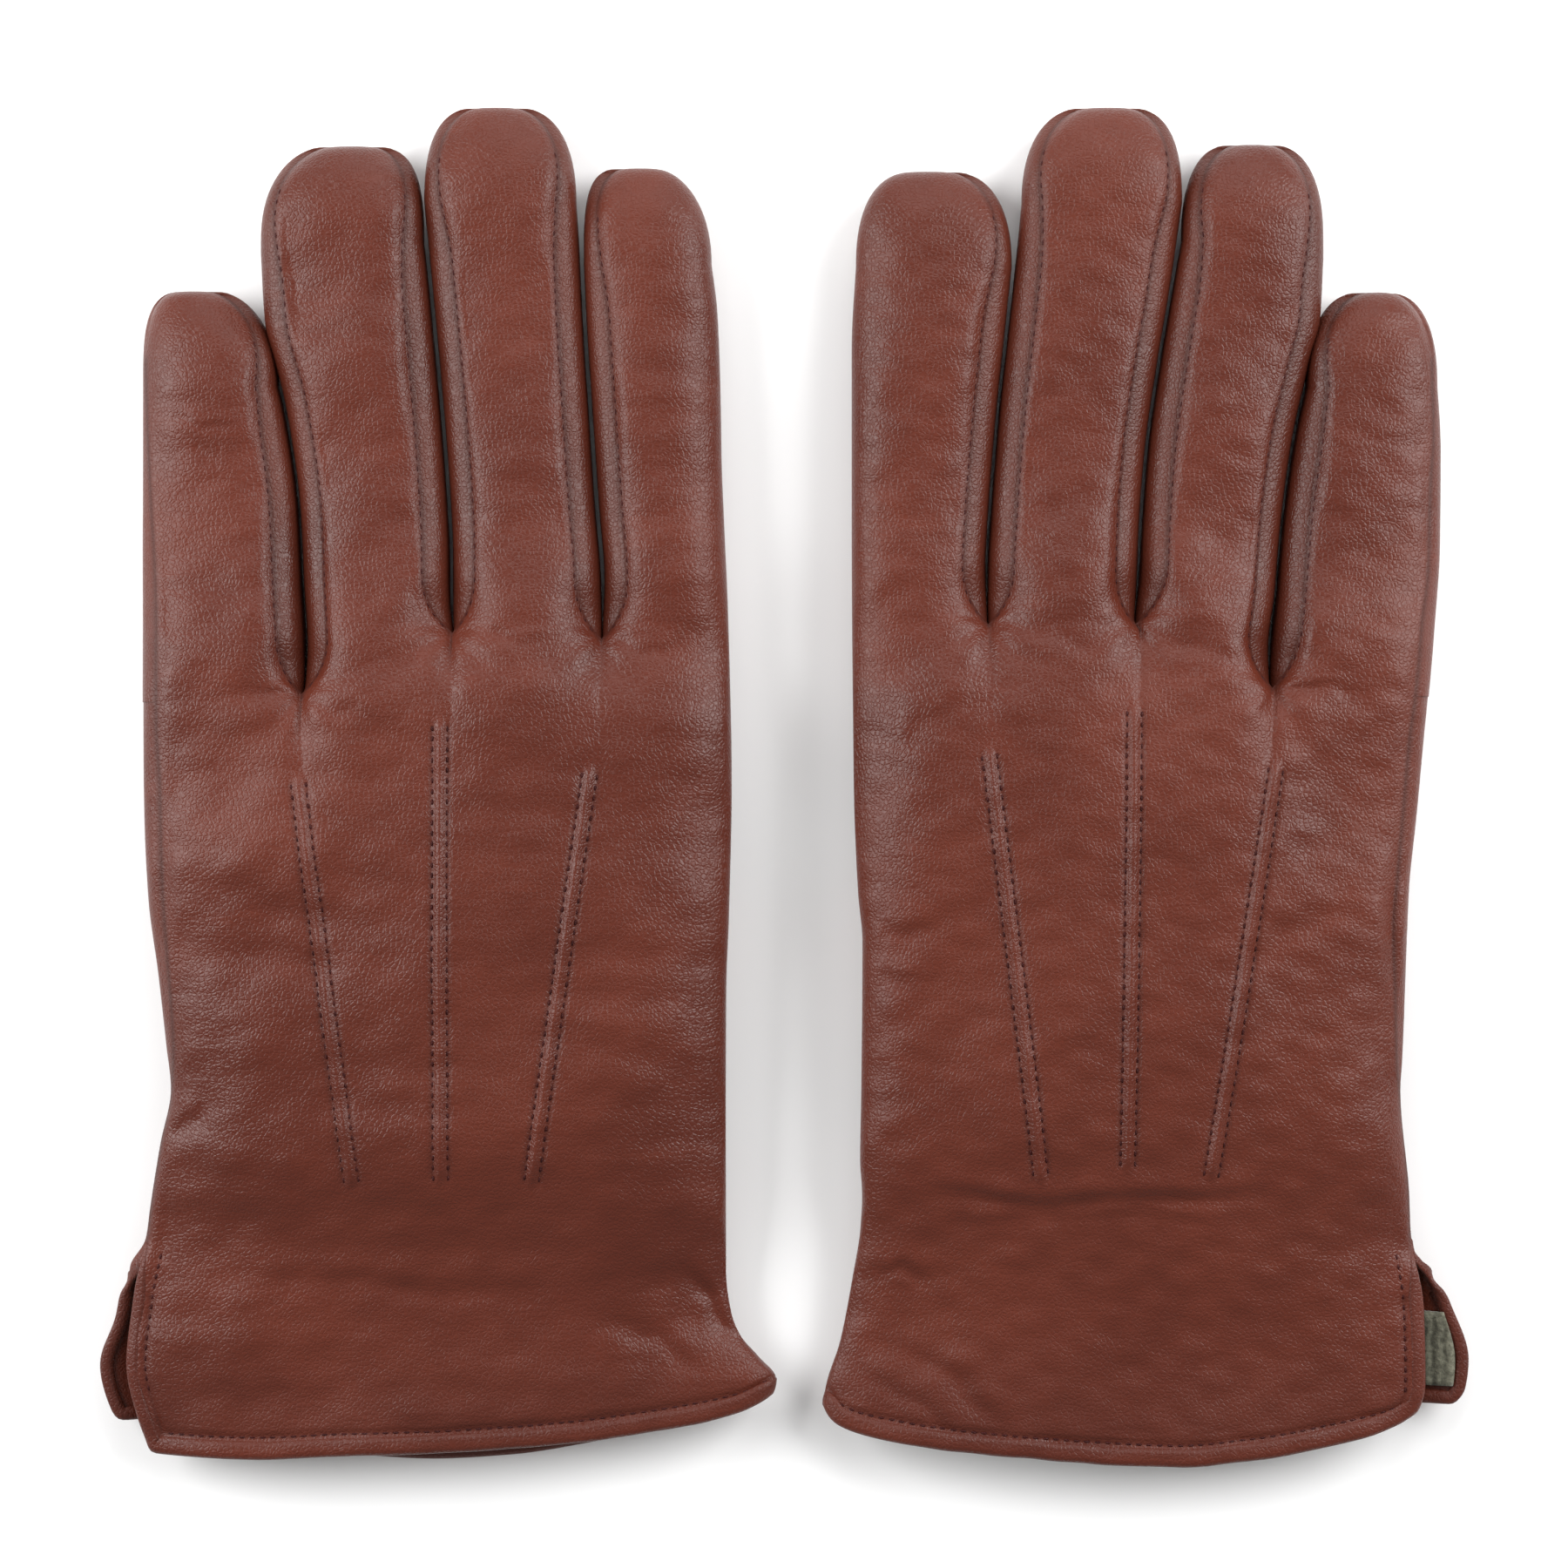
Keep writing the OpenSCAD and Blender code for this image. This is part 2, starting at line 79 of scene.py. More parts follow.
def soft(t):
    t = np.clip(t, 0, 1)
    return t * t * (3 - 2 * t)


def lerp(a, b, t):
    return a + (b - a) * t


def arch(u):
    return np.maximum(0, 1 - np.abs(u) ** ROUND) ** (1 / ROUND)


def curve(*points):
    """A smooth curve through (y, value) points that never overshoots them (monotone cubic)."""
    p = np.array(sorted(points), float)
    x, v = p[:, 0], p[:, 1]
    h = np.diff(x)
    d = np.diff(v) / h
    m = np.zeros(len(x))
    m[0], m[-1] = d[0], d[-1]
    same = d[:-1] * d[1:] > 0
    w1, w2 = 2 * h[1:] + h[:-1], h[1:] + 2 * h[:-1]
    with np.errstate(divide="ignore", invalid="ignore"):
        harmonic = (w1 + w2) / (w1 / d[:-1] + w2 / d[1:])
    m[1:-1] = np.where(same, harmonic, 0)

    def at(q):
        q = np.clip(q, x[0], x[-1])
        i = np.clip(np.searchsorted(x, q) - 1, 0, len(h) - 1)
        t = (q - x[i]) / h[i]
        a, b = v[i], v[i + 1]
        return ((2 * t**3 - 3 * t**2 + 1) * a + (t**3 - 2 * t**2 + t) * h[i] * m[i]
                + (-2 * t**3 + 3 * t**2) * b + (t**3 - t**2) * h[i] * m[i + 1])
    return at


# ---------------------------------------------------------------- glove patterns, in mm
# Curves take y and give x, except the hems, which take the share across the hand and give y.
# A finger has its two edges lo and hi, the y of its tip, the x of the tip's middle and the
# share of the width that the tip keeps. None stands for the hand's own outline.
LEFT = dict(
    side="left", sign=1, origin=-HALF_PAIR,
    outline_little=curve((-121, -55), (-116, -59.7), (-107.5, -61.8), (-98.7, -58.9), (-90, -57.2),
        (-84, -53.4), (-78, -52.4), (-66, -50.2), (-56, -48.2), (-48, -49), (-35, -50.4), (-21, -52.2),
        (-4.5, -53), (16, -53.3), (48, -53.9), (90, -53.9)),
    seam_little=curve((-124, -52), (-118, -54), (-107, -56.4), (-93, -54.8), (-84, -52.9), (-78, -52.1),
        (-66, -49.9), (-56, -47.9), (-48, -47.2), (-31, -48.2), (-16.6, -49), (0, -49.4), (10, -50),
        (27, -50.1), (39, -50.7), (51.5, -51.7), (67, -52.6), (90, -53.2)),
    outline_index=curve((-116, 61.5), (-110, 63), (-106, 59.8), (-102, 56.4), (-98, 54.8), (-90, 53.8),
        (-64, 53.8), (-38, 53.9), (-24, 54.4), (0, 54.9), (31, 54.2), (49, 53.4), (59, 53.0), (71, 52.8),
        (87, 52.2), (97, 51)),
    hem_back=curve((0, -122.9), (0.18, -123.5), (0.33, -122.7), (0.5, -122), (0.65, -120.8),
        (0.82, -118.4), (0.95, -115.4), (1, -112.5)),
    hem_palm=curve((0, -117.5), (0.1, -121), (0.3, -124), (0.45, -125.1), (0.58, -124.3), (0.7, -122.2),
        (0.83, -118.6), (1, -112.5)),
    crotches=((-23.7, 16.5), (3.7, 27.7), (31, 26.6)),
    root_little=15, root_index=28,
    fingers=dict(
        little=dict(
            hi=curve((16.5, -23.7), (25, -23.7), (37, -24.5), (51.5, -25.4), (70, -28.2), (79, -30.6)),
            lo=None, tip=91.2, centre=-44.2, blunt=0.34),
        ring=dict(
            lo=curve((16.5, -23.7), (25, -23.3), (37, -24.1), (51.5, -24.9), (70, -27.6), (86, -31.5),
                (98, -32.2)),
            hi=curve((27.7, 3.7), (33, 3), (42, 2.8), (57, 1.9), (74, 0.5), (91, -1.1), (103, -2.4)),
            tip=118.1, centre=-15.6, blunt=0.42),
        middle=dict(
            lo=curve((27.7, 3.7), (33, 3.5), (42, 3.4), (57, 2.6), (74, 1.2), (91, -0.4), (110, -2.3)),
            hi=curve((26.6, 31), (38, 30.7), (51, 29.6), (67, 28.5), (85, 27.3), (100, 26.6),
                (110, 25.9)),
            tip=125.3, centre=11.2, blunt=0.42),
        index=dict(
            lo=curve((26.6, 31), (38, 31.3), (51, 30.3), (67, 29.2), (85, 28), (100, 27.3)),
            hi=None, tip=114, centre=36.8, blunt=0.36)),
    points=(((-23.7, 0.6), (-14.2, -72.6)), ((2.1, 11), (2.1, -71.8)), ((29.3, 2.4), (18.5, -72.5))))
RIGHT = dict(
    side="right", sign=-1, origin=HALF_PAIR,
    outline_little=curve((-116, -58), (-112, -61.3), (-106.6, -61.9), (-96.5, -58.6), (-90, -55.6),
        (-85.5, -51.6), (-75, -50.7), (-56, -48.8), (-51, -49.1), (-30, -49.8), (-20, -50.2),
        (-5.3, -51.7), (8, -53), (27.5, -55.2), (44.5, -56.6), (61.6, -56.8), (77.6, -55.9)),
    seam_little=curve((-118, -51), (-111, -53.2), (-97, -52.9), (-85.5, -51.3), (-75, -50.4),
        (-58, -48.6), (-51, -47.7), (-39, -47.2), (-26, -46.7), (-16.5, -47.5), (-5, -48.5), (8, -49.6),
        (18, -50.9), (29.4, -52), (38, -53.4), (56, -54.2), (64, -54.8), (76, -54.6)),
    outline_index=curve((-116, 57.6), (-110.4, 56.5), (-103.4, 54.2), (-91, 51.8), (-82, 50.4),
        (-76, 50.1), (-69, 50.5), (-56, 50.3), (-29, 50.1), (-20, 50.9), (0, 51.7), (48, 52), (80, 52),
        (99, 51)),
    hem_back=curve((0, -115.6), (0.03, -117.8), (0.15, -121.3), (0.28, -123.7), (0.4, -124.8),
        (0.55, -124.1), (0.71, -122.7), (0.87, -120.5), (0.97, -117.8), (1, -114.6)),
    hem_palm=curve((0, -114.5), (0.15, -119), (0.28, -121.7), (0.4, -122.8), (0.55, -122.1),
        (0.71, -120.9), (0.87, -118.9), (0.97, -116.8), (1, -114.6)),
    crotches=((-24.8, 17.6), (0, 29.3), (27, 29.3)),
    root_little=16, root_index=30,
    fingers=dict(
        little=dict(
            hi=curve((17.6, -24.8), (25, -25.2), (35, -26.4), (49, -27.8), (64, -30), (77, -32.9)),
            lo=None, tip=91, centre=-44.8, blunt=0.3),
        ring=dict(
            lo=curve((17.6, -24.8), (25, -24.7), (35, -26), (49, -27.3), (64, -29.4), (77, -32.4),
                (86, -34.6), (97, -35.2)),
            hi=curve((29.3, 0), (38, -1), (47, -1.6), (62, -2.8), (78, -5.1), (91, -7.3), (105, -9.8)),
            tip=118.4, centre=-22.2, blunt=0.42),
        middle=dict(
            lo=curve((29.3, 0), (38, -0.6), (47, -1), (62, -2.2), (78, -4.5), (91, -6.7), (108, -9.2)),
            hi=curve((29.3, 27), (40, 26.9), (48, 26.4), (68, 24.8), (85, 22.9), (99, 21.4), (110, 20.3)),
            tip=125.3, centre=4.6, blunt=0.42),
        index=dict(
            lo=curve((29.3, 27), (40, 27.3), (48, 26.9), (68, 25.3), (85, 23.5), (99, 22)),
            hi=None, tip=113.4, centre=36.9, blunt=0.34)),
    points=(((-24.8, 3.2), (-13.2, -71.3)), ((0.9, 13.6), (2, -69.5)), ((27.3, 5.8), (17.7, -72))))

FINGERS = ("little", "ring", "middle", "index")
LEAN = math.radians(4.2)                                  # of the finger axes, as in the CAD model
FINGER_AXES = dict(little=-37.75, ring=-9.15, middle=18.5, index=44.5)
AXIS_HEIGHT = 7.25
LITTLE_FOLD, LONG_FOLD = (18.5, 31), (28, 43.5)            # where a knuckle's fold starts and ends
TIP = 18.0             # length of a rounded fingertip
crown_of_hand = curve((-126, 12.4), (-100, 13.4), (-85, 15.6), (-62, 20.4), (-20, 21.9), (12, 21.4),
                      (24, 19.4), (36, 16.9), (50, 15.4), (80, 14.8), (110, 14.2), (126, 13.5))
middle_share = curve((-126, 0.49), (-85, 0.51), (-62, 0.53), (-20, 0.54), (16, 0.54), (30, 0.5),
                     (50, 0.49), (126, 0.49))
THUMB_ROOT = np.array([54.4, -42.0])
THUMB_DIR = np.array([math.cos(math.radians(136)), math.sin(math.radians(136))])
THUMB_LENGTH, THUMB_WIDTH = 62, 27
THUMB_HINGE_HEIGHT, THUMB_FOLD = 9.0, 11
PALM_RISE = 9.4        # of the palm over the folded thumb


def mid_height(y):
    return crown_of_hand(y) * middle_share(y)


def lifted(x, y):
    """How far the palm is raised over the folded thumb."""
    px, py = x - THUMB_ROOT[0], y - THUMB_ROOT[1]
    t = np.clip(px * THUMB_DIR[0] + py * THUMB_DIR[1], 0, THUMB_LENGTH - THUMB_WIDTH / 2)
    d = np.hypot(px - THUMB_DIR[0] * t, py - THUMB_DIR[1] * t)
    return PALM_RISE * (1 - soft((d - THUMB_WIDTH / 2 - 4) / 15))


def vent(y):
    """1 where the side vent is open, 0 above it."""
    return soft((VENT_TOP + 1 - y) / 12)


# ---------------------------------------------------------------- relief of the leather, in mm
def lumps(x, y, size, seed):
    """Smooth random relief of about that size, from a few crossing waves."""
    r = np.random.default_rng(seed)
    total = 0
    for _ in range(9):
        a, k, p = r.uniform(0, math.pi), 2 * math.pi / (size * r.uniform(0.7, 1.5)), r.uniform(0, 6.28)
        total = total + np.sin(k * (x * math.cos(a) + y * math.sin(a)) + p)
    return total / 4


def segment(x, y, a, b):
    """Distance from the segment a-b, with a sign for its side, and the share along it."""
    ax, ay, dx, dy = a[0], a[1], b[0] - a[0], b[1] - a[1]
    length = math.hypot(dx, dy)
    raw = ((x - ax) * dx + (y - ay) * dy) / length**2
    t = np.clip(raw, 0, 1)
    d = np.hypot(x - ax - dx * t, y - ay - dy * t)
    return d * np.sign((x - ax) * dy - (y - ay) * dx), raw


def crease(x, y, a, b, depth, width):
    """A soft fold: a narrow valley with a raised bank on one side."""
    d, t = segment(x, y, a, b)
    d = d + 0.9 * np.sin(t * 7 + a[0]) + 0.4 * np.sin(t * 17 + b[1])
    fade = soft(np.minimum(t, 1 - t) * 2.6 + 0.05) * (np.abs(d) < 6 * width)
    return fade * depth * (0.55 * np.exp(-((d + width) / width) ** 2) - np.exp(-(d / (0.6 * width)) ** 2))


CREASES = dict(
    left=(((6, 26), (24, 26.5), 0.5, 1.6), ((33, 25.5), (47, 24), 0.5, 1.6), ((-22, 15), (-8, 11), 0.3, 1.8),
          ((-38, -90.5), (24, -93.5), 0.38, 3.0), ((-44, -18), (-16, -24), 0.55, 5),
          ((-40, -28), (-12, -36), 0.4, 5),
          ((44, -88), (60, -106), 0.8, 2.4), ((30, -98), (52, -108), 0.5, 3),
          ((-50, -66), (-40, -58), 0.6, 3),
          ((20, -44), (48, -52), 0.35, 4.5), ((-44, 60), (-38, 61), 0.25, 3),
          ((-50, 66), (-34, 66), 0.25, 1.3)),
    right=(((-31, -76.4), (46, -75.2), 0.95, 2.2), ((-20, -79.8), (40, -79), 0.5, 2.0),
           ((36, -91.5), (50, -88.5), 0.6, 2),
           ((28, 18), (43, 8), 0.45, 3), ((23, -118), (46, -101), 0.6, 3), ((30, -122), (52, -106), 0.5, 2.4),
           ((-24, 16), (-40, 18), 0.35, 1.8), ((0, 28), (-22, 21), 0.35, 2.2), ((27, 27), (6, 26), 0.35, 2.0),
           ((-40, -20), (-18, -34), 0.4, 5), ((34, -24), (49, -30), 0.45, 2.6),
           ((34, -34), (49, -37), 0.35, 2.2)))


def relief(g, x, y):
    """Height that folds, puckers, points and general wear add to the back of the glove."""
    seed = 3 if g["sign"] > 0 else 11
    z = 0.75 * lumps(x, y, 36, seed) + 0.16 * lumps(x, y * 1.8, 11, seed + 1)
    z = z + 0.035 * lumps(x * 0.35, y * 1.7, 3.2, seed + 2)
    for c in CREASES[g["side"]]:
        z = z + crease(x, y, *c)
    for cx, cy in g["crotches"]:
        px, py = x - cx, y - cy
        r = np.hypot(px, py) + 0.3
        a = np.arctan2(px, -py)
        ray = np.cos(a * 7 + cx) * soft(r / 3) * np.exp(-r / 9.0)
        z = z + 0.42 * ray * (py < 2)
    for a, b in g["points"]:
        d, t = segment(x, y, a, b)
        along = soft(np.minimum(t, 1 - t) * 30 + 0.5) * (t > -0.02) * (t < 1.02)
        d = np.abs(d)
        z = z + along * (0.75 * np.exp(-((d / 0.85) ** 2)) - 0.38 * np.exp(-(((d - RIB_ROW) / 0.42) ** 2)))
    hem = hem_distance(g, x, y)
    return z + 0.25 * soft(1 - hem / 3.4) - 0.45 * np.exp(-(((hem - HEM_ROW) / 0.6) ** 2))


def hem_distance(g, x, y):
    """Distance from the free edges of the back panel: the hem and the vent."""
    left = g["seam_little"](y)
    q = np.clip((x - left) / (g["outline_index"](y) - left), 0, 1)
    down = y - g["hem_back"](q)
    side = (x - left) + 60 * (1 - vent(y))
    return np.clip(np.minimum(down, side), 0, 99)


# ---------------------------------------------------------------- grids of points
BACK_COLUMNS, PALM_COLUMNS, SIDE_COLUMNS = 56, 24, 13
FINGER_ROWS, TIP_ROWS = 96, 18
V_ROWS = np.r_[np.linspace(0, 0.05, 14), np.linspace(0.05, 1, 134)[1:]]


def seam_inset(y, crotch_y, tip_y):
    """How far a seam lies in from the finger's outline."""
    open_up = 1 - (1 - np.clip((y - crotch_y) / 11, 0, 1)) ** 2.4
    return 4.1 * open_up * lerp(1, 0.55, soft((y - tip_y + 30) / 22))


def seam_height(y, crotch_y, tip_t):
    """A seam's height as a share of the finger's."""
    return lerp(0.42, 0.79, soft((y - crotch_y) / 12)) * (1 - tip_t**3)


def finger_rows(g, name):
    """Everything known of one finger along its rows, from its root line to its tip."""
    f = g["fingers"][name]
    k = FINGERS.index(name)
    first = (g["seam_little"](g["root_little"]), g["root_little"])
    last = (g["outline_index"](g["root_index"]), g["root_index"])
    ya, yb = [y for _, y in (first, *g["crotches"], last)][k:k + 2]
    lo = f["lo"] or g["outline_little"]
    hi = f["hi"] or g["outline_index"]
    start = f["tip"] - TIP
    body = np.linspace(0, 1, FINGER_ROWS)
    tip = np.sin(np.linspace(0, 1, TIP_ROWS + 1)[1:] * math.pi / 2)
    t = np.r_[np.zeros(FINGER_ROWS), tip]
    y_lo = np.r_[lerp(ya, start, body), start + TIP * tip]
    y_hi = np.r_[lerp(yb, start, body), start + TIP * tip]
    x_lo, x_hi = lo(np.minimum(y_lo, start)), hi(np.minimum(y_hi, start))
    shrink = 0.75 * f["blunt"] + (1 - 0.75 * f["blunt"]) * np.maximum(0, 1 - t**2.35) ** (1 / 2.35)
    half0, mid0 = (x_hi - x_lo) / 2, (x_hi + x_lo) / 2
    mid = lerp(mid0, f["centre"], t**2)
    x_lo, x_hi = np.where(t > 0, mid - half0 * shrink, x_lo), np.where(t > 0, mid + half0 * shrink, x_hi)
    wall_lo, wall_hi = f["lo"] is not None, f["hi"] is not None
    in_lo = seam_inset(y_lo, ya, f["tip"]) if wall_lo else np.maximum(g["seam_little"](y_lo) - lo(y_lo), 0.5)
    in_hi = seam_inset(y_hi, yb, f["tip"]) if wall_hi else np.zeros(len(t))
    in_lo, in_hi = np.minimum(in_lo, half0 * shrink * 0.75), np.minimum(in_hi, half0 * shrink * 0.75)
    hs_lo = seam_height(y_lo, ya, t) if wall_lo else arch(1 - in_lo / np.maximum(half0, 1)) * (1 - t**3)
    hs_hi = seam_height(y_hi, yb, t) if wall_hi else np.zeros(len(t))
    y_mid = (y_lo + y_hi) / 2
    root_crown = hand_height(g, (x_lo[0] + x_hi[0]) / 2, y_mid[0])
    crown = lerp(root_crown, crown_of_hand(y_mid), soft((y_mid - y_mid[0]) / 24))
    low = mid_height(y_mid) - 1.6 * t**2
    swell = np.maximum(0, 1 - t**3) ** (1 / 3)
    return dict(t=t, y_lo=y_lo, y_hi=y_hi, x_lo=x_lo, x_hi=x_hi, in_lo=in_lo, in_hi=in_hi, hs_lo=hs_lo,
                hs_hi=hs_hi,
                low=low, up=(crown - mid_height(y_mid)) * swell, down=(mid_height(y_mid) - 0.3) * swell,
                wall_lo=wall_lo, wall_hi=wall_hi)


def across(n, fold_hi):
    """Shares across a panel, closer together towards a fold on its high side."""
    q = np.linspace(0, 1, n)
    return np.sin(q * math.pi / 2) if fold_hi else q


def finger_face(r, n, up):
    """The back (up=1) or palm (up=-1) panel of a finger, from its low-x seam to its high-x seam."""
    q = across(n, not r["wall_hi"])[None, :]
    c = lambda k: r[k][:, None]
    u = lerp(-np.maximum(0, 1 - c("hs_lo") ** ROUND) ** (1 / ROUND),
             np.maximum(0, 1 - c("hs_hi") ** ROUND) ** (1 / ROUND), q)
    x = lerp(c("x_lo") + c("in_lo"), c("x_hi") - c("in_hi"), q)
    y = lerp(c("y_lo"), c("y_hi"), q)
    z = c("low") + (c("up") if up > 0 else -c("down")) * arch(u)
    return np.stack([x, y, z + 0 * q], -1)


def finger_wall(r, which):
    """A fourchette, from the back panel's seam round the side to the palm panel's seam."""
    c = lambda k: r[k][:, None]
    lo = which == "lo"
    hs = c("hs_" + which)
    q = np.linspace(1, -1, SIDE_COLUMNS)[None, :]
    h = hs * q
    u0 = np.maximum(1e-6, 1 - hs**ROUND) ** (1 / ROUND)
    u = np.maximum(0, 1 - np.abs(h) ** ROUND) ** (1 / ROUND)
    out = np.clip((u - u0) / np.maximum(1 - u0, 1e-6), 0, 1)
    x_edge, inset = c("x_" + which), c("in_" + which)
    x = x_edge + (inset if lo else -inset) * (1 - out)
    step = 0.25 * soft(inset / 2) * (1 if r["wall_" + which] else 0)
    x = x + (1 if lo else -1) * step * (1 - out)
    z = c("low") + np.where(h > 0, c("up"), c("down")) * h - step * q
    return np.stack([x, c("y_" + which) + 0 * q, z], -1)


def hand_frame(g, y):
    lo, hi = g["outline_little"](y), g["outline_index"](y)
    return (lo + hi) / 2, (hi - lo) / 2


def hand_height(g, x, y):
    """The back of the hand without its folds."""
    c, a = hand_frame(g, y)
    return mid_height(y) + (crown_of_hand(y) - mid_height(y)) * arch(np.clip((x - c) / a, -1, 1))


def hand_grid(g, top, up):
    """Rows from the hem to the finger roots. top is the first row of all the finger panels."""
    left_edge = g["seam_little"]
    q = ((top[:, 0] - top[0, 0]) / (top[-1, 0] - top[0, 0]))[None, :]
    v = V_ROWS[:, None]
    hem = (g["hem_back"] if up > 0 else g["hem_palm"])(q)
    y = lerp(hem, top[None, :, 1], v)
    lo, hi = left_edge(y), g["outline_index"](y)
    x = lo + q * (hi - lo)
    c, a = hand_frame(g, y)
    u = np.clip((x - c) / a, -1, 1)
    u[:, -1] = 1
    m = mid_height(y)
    if up > 0:
        z = m + (crown_of_hand(y) - m) * arch(u)
    else:
        z = np.maximum(m - (m - lifted(x, y) - 0.2) * arch(u), 0.3)
    drop = (top[None, :, 2] - z[-1:, :]) * np.exp(-(top[None, :, 1] - y) / 7.5)
    x[-1], y[-1] = top[:, 0], top[:, 1]
    return np.stack([x, y, z + drop], -1)


def hand_side(g, back, palm):
    """Palm leather from the side seam round the edge to the palm, or out into the vent's flap."""
    q = np.linspace(1, -1, SIDE_COLUMNS)[None, :]
    k = (1 - q) / 2
    y = lerp(back[:, None, 1], palm[:, None, 1], k)
    c, a = hand_frame(g, y)
    edge, seam = g["outline_little"](y), g["seam_little"](y)
    hs = arch(np.clip((seam - c) / a, -1, 1))
    h = hs * q
    u, u0 = arch(h), arch(hs)
    out = np.clip((u - u0) / np.maximum(1 - u0, 1e-6), 0, 1)
    x = edge + (seam - edge) * (1 - out)
    m = mid_height(y)
    z = np.where(h > 0, m + (crown_of_hand(y) - m) * h, m + (m - 0.3) * h)
    z = z + lerp(back[:, None, 2] - z[:, :1], palm[:, None, 2] - z[:, -1:], k)
    flat_x = lerp(g["outline_little"](palm[:, None, 1]), palm[:, None, 0], k)
    flat_y = palm[:, None, 1] + 0 * k
    flat_z = lerp(mid_height(flat_y) - 1.2, palm[:, None, 2], k**1.5)
    w = vent(flat_y) + 0 * k
    side = lerp(np.stack([x, y, z], -1), np.stack([flat_x, flat_y, flat_z], -1), w[..., None])
    side[:, -1] = palm
    return side


# ---------------------------------------------------------------- meshes
def normals_of(v, faces):
    """Smooth normals at the points of a mesh of quads."""
    a, b, c, d = (v[faces[:, i]] for i in range(4))
    n = np.cross(c - a, d - b)
    out = np.zeros_like(v)
    for i in range(4):
        np.add.at(out, faces[:, i], n)
    return out / np.maximum(np.linalg.norm(out, axis=1, keepdims=True), 1e-9)


def grid_faces(ni, nj, start=0):
    """The quads of a grid of ni rows and nj columns."""
    i, j = np.meshgrid(np.arange(ni - 1), np.arange(nj - 1), indexing="ij")
    a = (start + i * nj + j).ravel()
    return np.stack([a, a + 1, a + nj + 1, a + nj], 1)


class Skin:
    """Grids joined into one surface wherever they meet. It remembers which piece each face is in.

    extra, from 0 to 1, says how far a point keeps clear of the relief.
    """

    def __init__(self):
        self.points, self.faces, self.names, self.extra, self.count = [], [], [], [], 0

    def add(self, grid, name, up=True, extra=None):
        ni, nj = grid.shape[:2]
        f = grid_faces(ni, nj, self.count)
        self.faces.append(f if up else f[:, ::-1])
        self.names += [name] * len(f)
        self.points.append(grid.reshape(-1, 3))
        self.extra.append(np.zeros(ni * nj) if extra is None else extra.ravel())
        self.count += ni * nj

    def join(self):
        p = np.concatenate(self.points)
        key = np.round(p * 500).astype(np.int64)
        _, first, inverse = np.unique(key, axis=0, return_index=True, return_inverse=True)
        self.v = p[first]
        self.f = inverse.reshape(-1)[np.concatenate(self.faces)]
        self.e = np.concatenate(self.extra)[first]
        self.names = np.array(self.names)
        self.n = normals_of(self.v, self.f)

    def piece(self, name):
        f = self.f[self.names == name]
        used, inverse = np.unique(f, return_inverse=True)
        return self.v[used], inverse.reshape(f.shape), self.n[used]


def shell(v, f, n, thick, top=0.0):
    """A sheet with thickness: outer face, inner face and the rim round every free edge."""
    count = len(v)
    edges = np.concatenate([f[:, [i, (i + 1) % 4]] for i in range(4)])
    edges = edges[edges[:, 0] != edges[:, 1]]
    code = edges[:, 0].astype(np.int64) * count + edges[:, 1]
    back = edges[:, 1].astype(np.int64) * count + edges[:, 0]
    free = edges[~np.isin(code, back)]
    rim = np.stack([free[:, 1], free[:, 0], free[:, 0] + count, free[:, 1] + count], 1)
    points = np.concatenate([v - n * top, v - n * (top + thick)])
    return points, np.concatenate([f, f[:, ::-1] + count, rim]), np.concatenate([n, -n])


def place(g, p):
    """From the glove's own plan frame in mm to the row frame in metres."""
    w = np.array(p, float) * MM
    w[..., 0] = g["origin"] * MM + g["sign"] * w[..., 0]
    return w


def mesh_object(g, name, v, faces, material, normals=None, painted_shade=None):
    """One named piece. faces is an array of quads, where a repeated corner makes a triangle."""
    w = place(g, v)
    if g["sign"] < 0:
        faces = faces[:, ::-1]
    polygons = []
    for q in faces.tolist():
        poly = [k for i, k in enumerate(q) if k != q[i - 1]]
        if len(set(poly)) >= 3 and len(set(poly)) == len(poly):
            polygons.append(poly)
    me = bpy.data.meshes.new(name)
    me.from_pydata(w.tolist(), [], polygons)
    me.update()
    me.polygons.foreach_set("use_smooth", [True] * len(me.polygons))
    # painted shade: a point attribute that the leather material turns into darker colour
    if painted_shade is not None:
        attribute = me.attributes.new("painted_shade", "FLOAT", "POINT")
        attribute.data.foreach_set("value", np.asarray(painted_shade, np.float32))
    if normals is not None:
        n = normals.copy()
        n[:, 0] *= g["sign"]
        me.normals_split_custom_set_from_vertices(n.tolist())
    me.materials.append(material)
    obj = bpy.data.objects.new(name, me)
    bpy.context.scene.collection.objects.link(obj)
    return obj


def finger_point(g, name, s):
    """A point of the finger's axis, s mm along the leaning fingers, in the row frame."""
    w = FINGER_AXES[name]
    x, y = w * math.cos(LEAN) - s * math.sin(LEAN), w * math.sin(LEAN) + s * math.cos(LEAN)
    return tuple(place(g, [x, y, AXIS_HEIGHT]).tolist())


def bend(g, obj, name):
    """Works out where the knuckle's fold starts and ends on the finger's axis, which is not used, and bakes
    the piece's placement into its mesh.
    """
    start, end = LITTLE_FOLD if name == "little" else LONG_FOLD
    finger_point(g, name, start)
    finger_point(g, name, end)
    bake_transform(obj)


# ---------------------------------------------------------------- materials
def srgb(r, g, b):
    return tuple(((c / 255 + 0.055) / 1.055) ** 2.4 for c in (r, g, b)) + (1,)


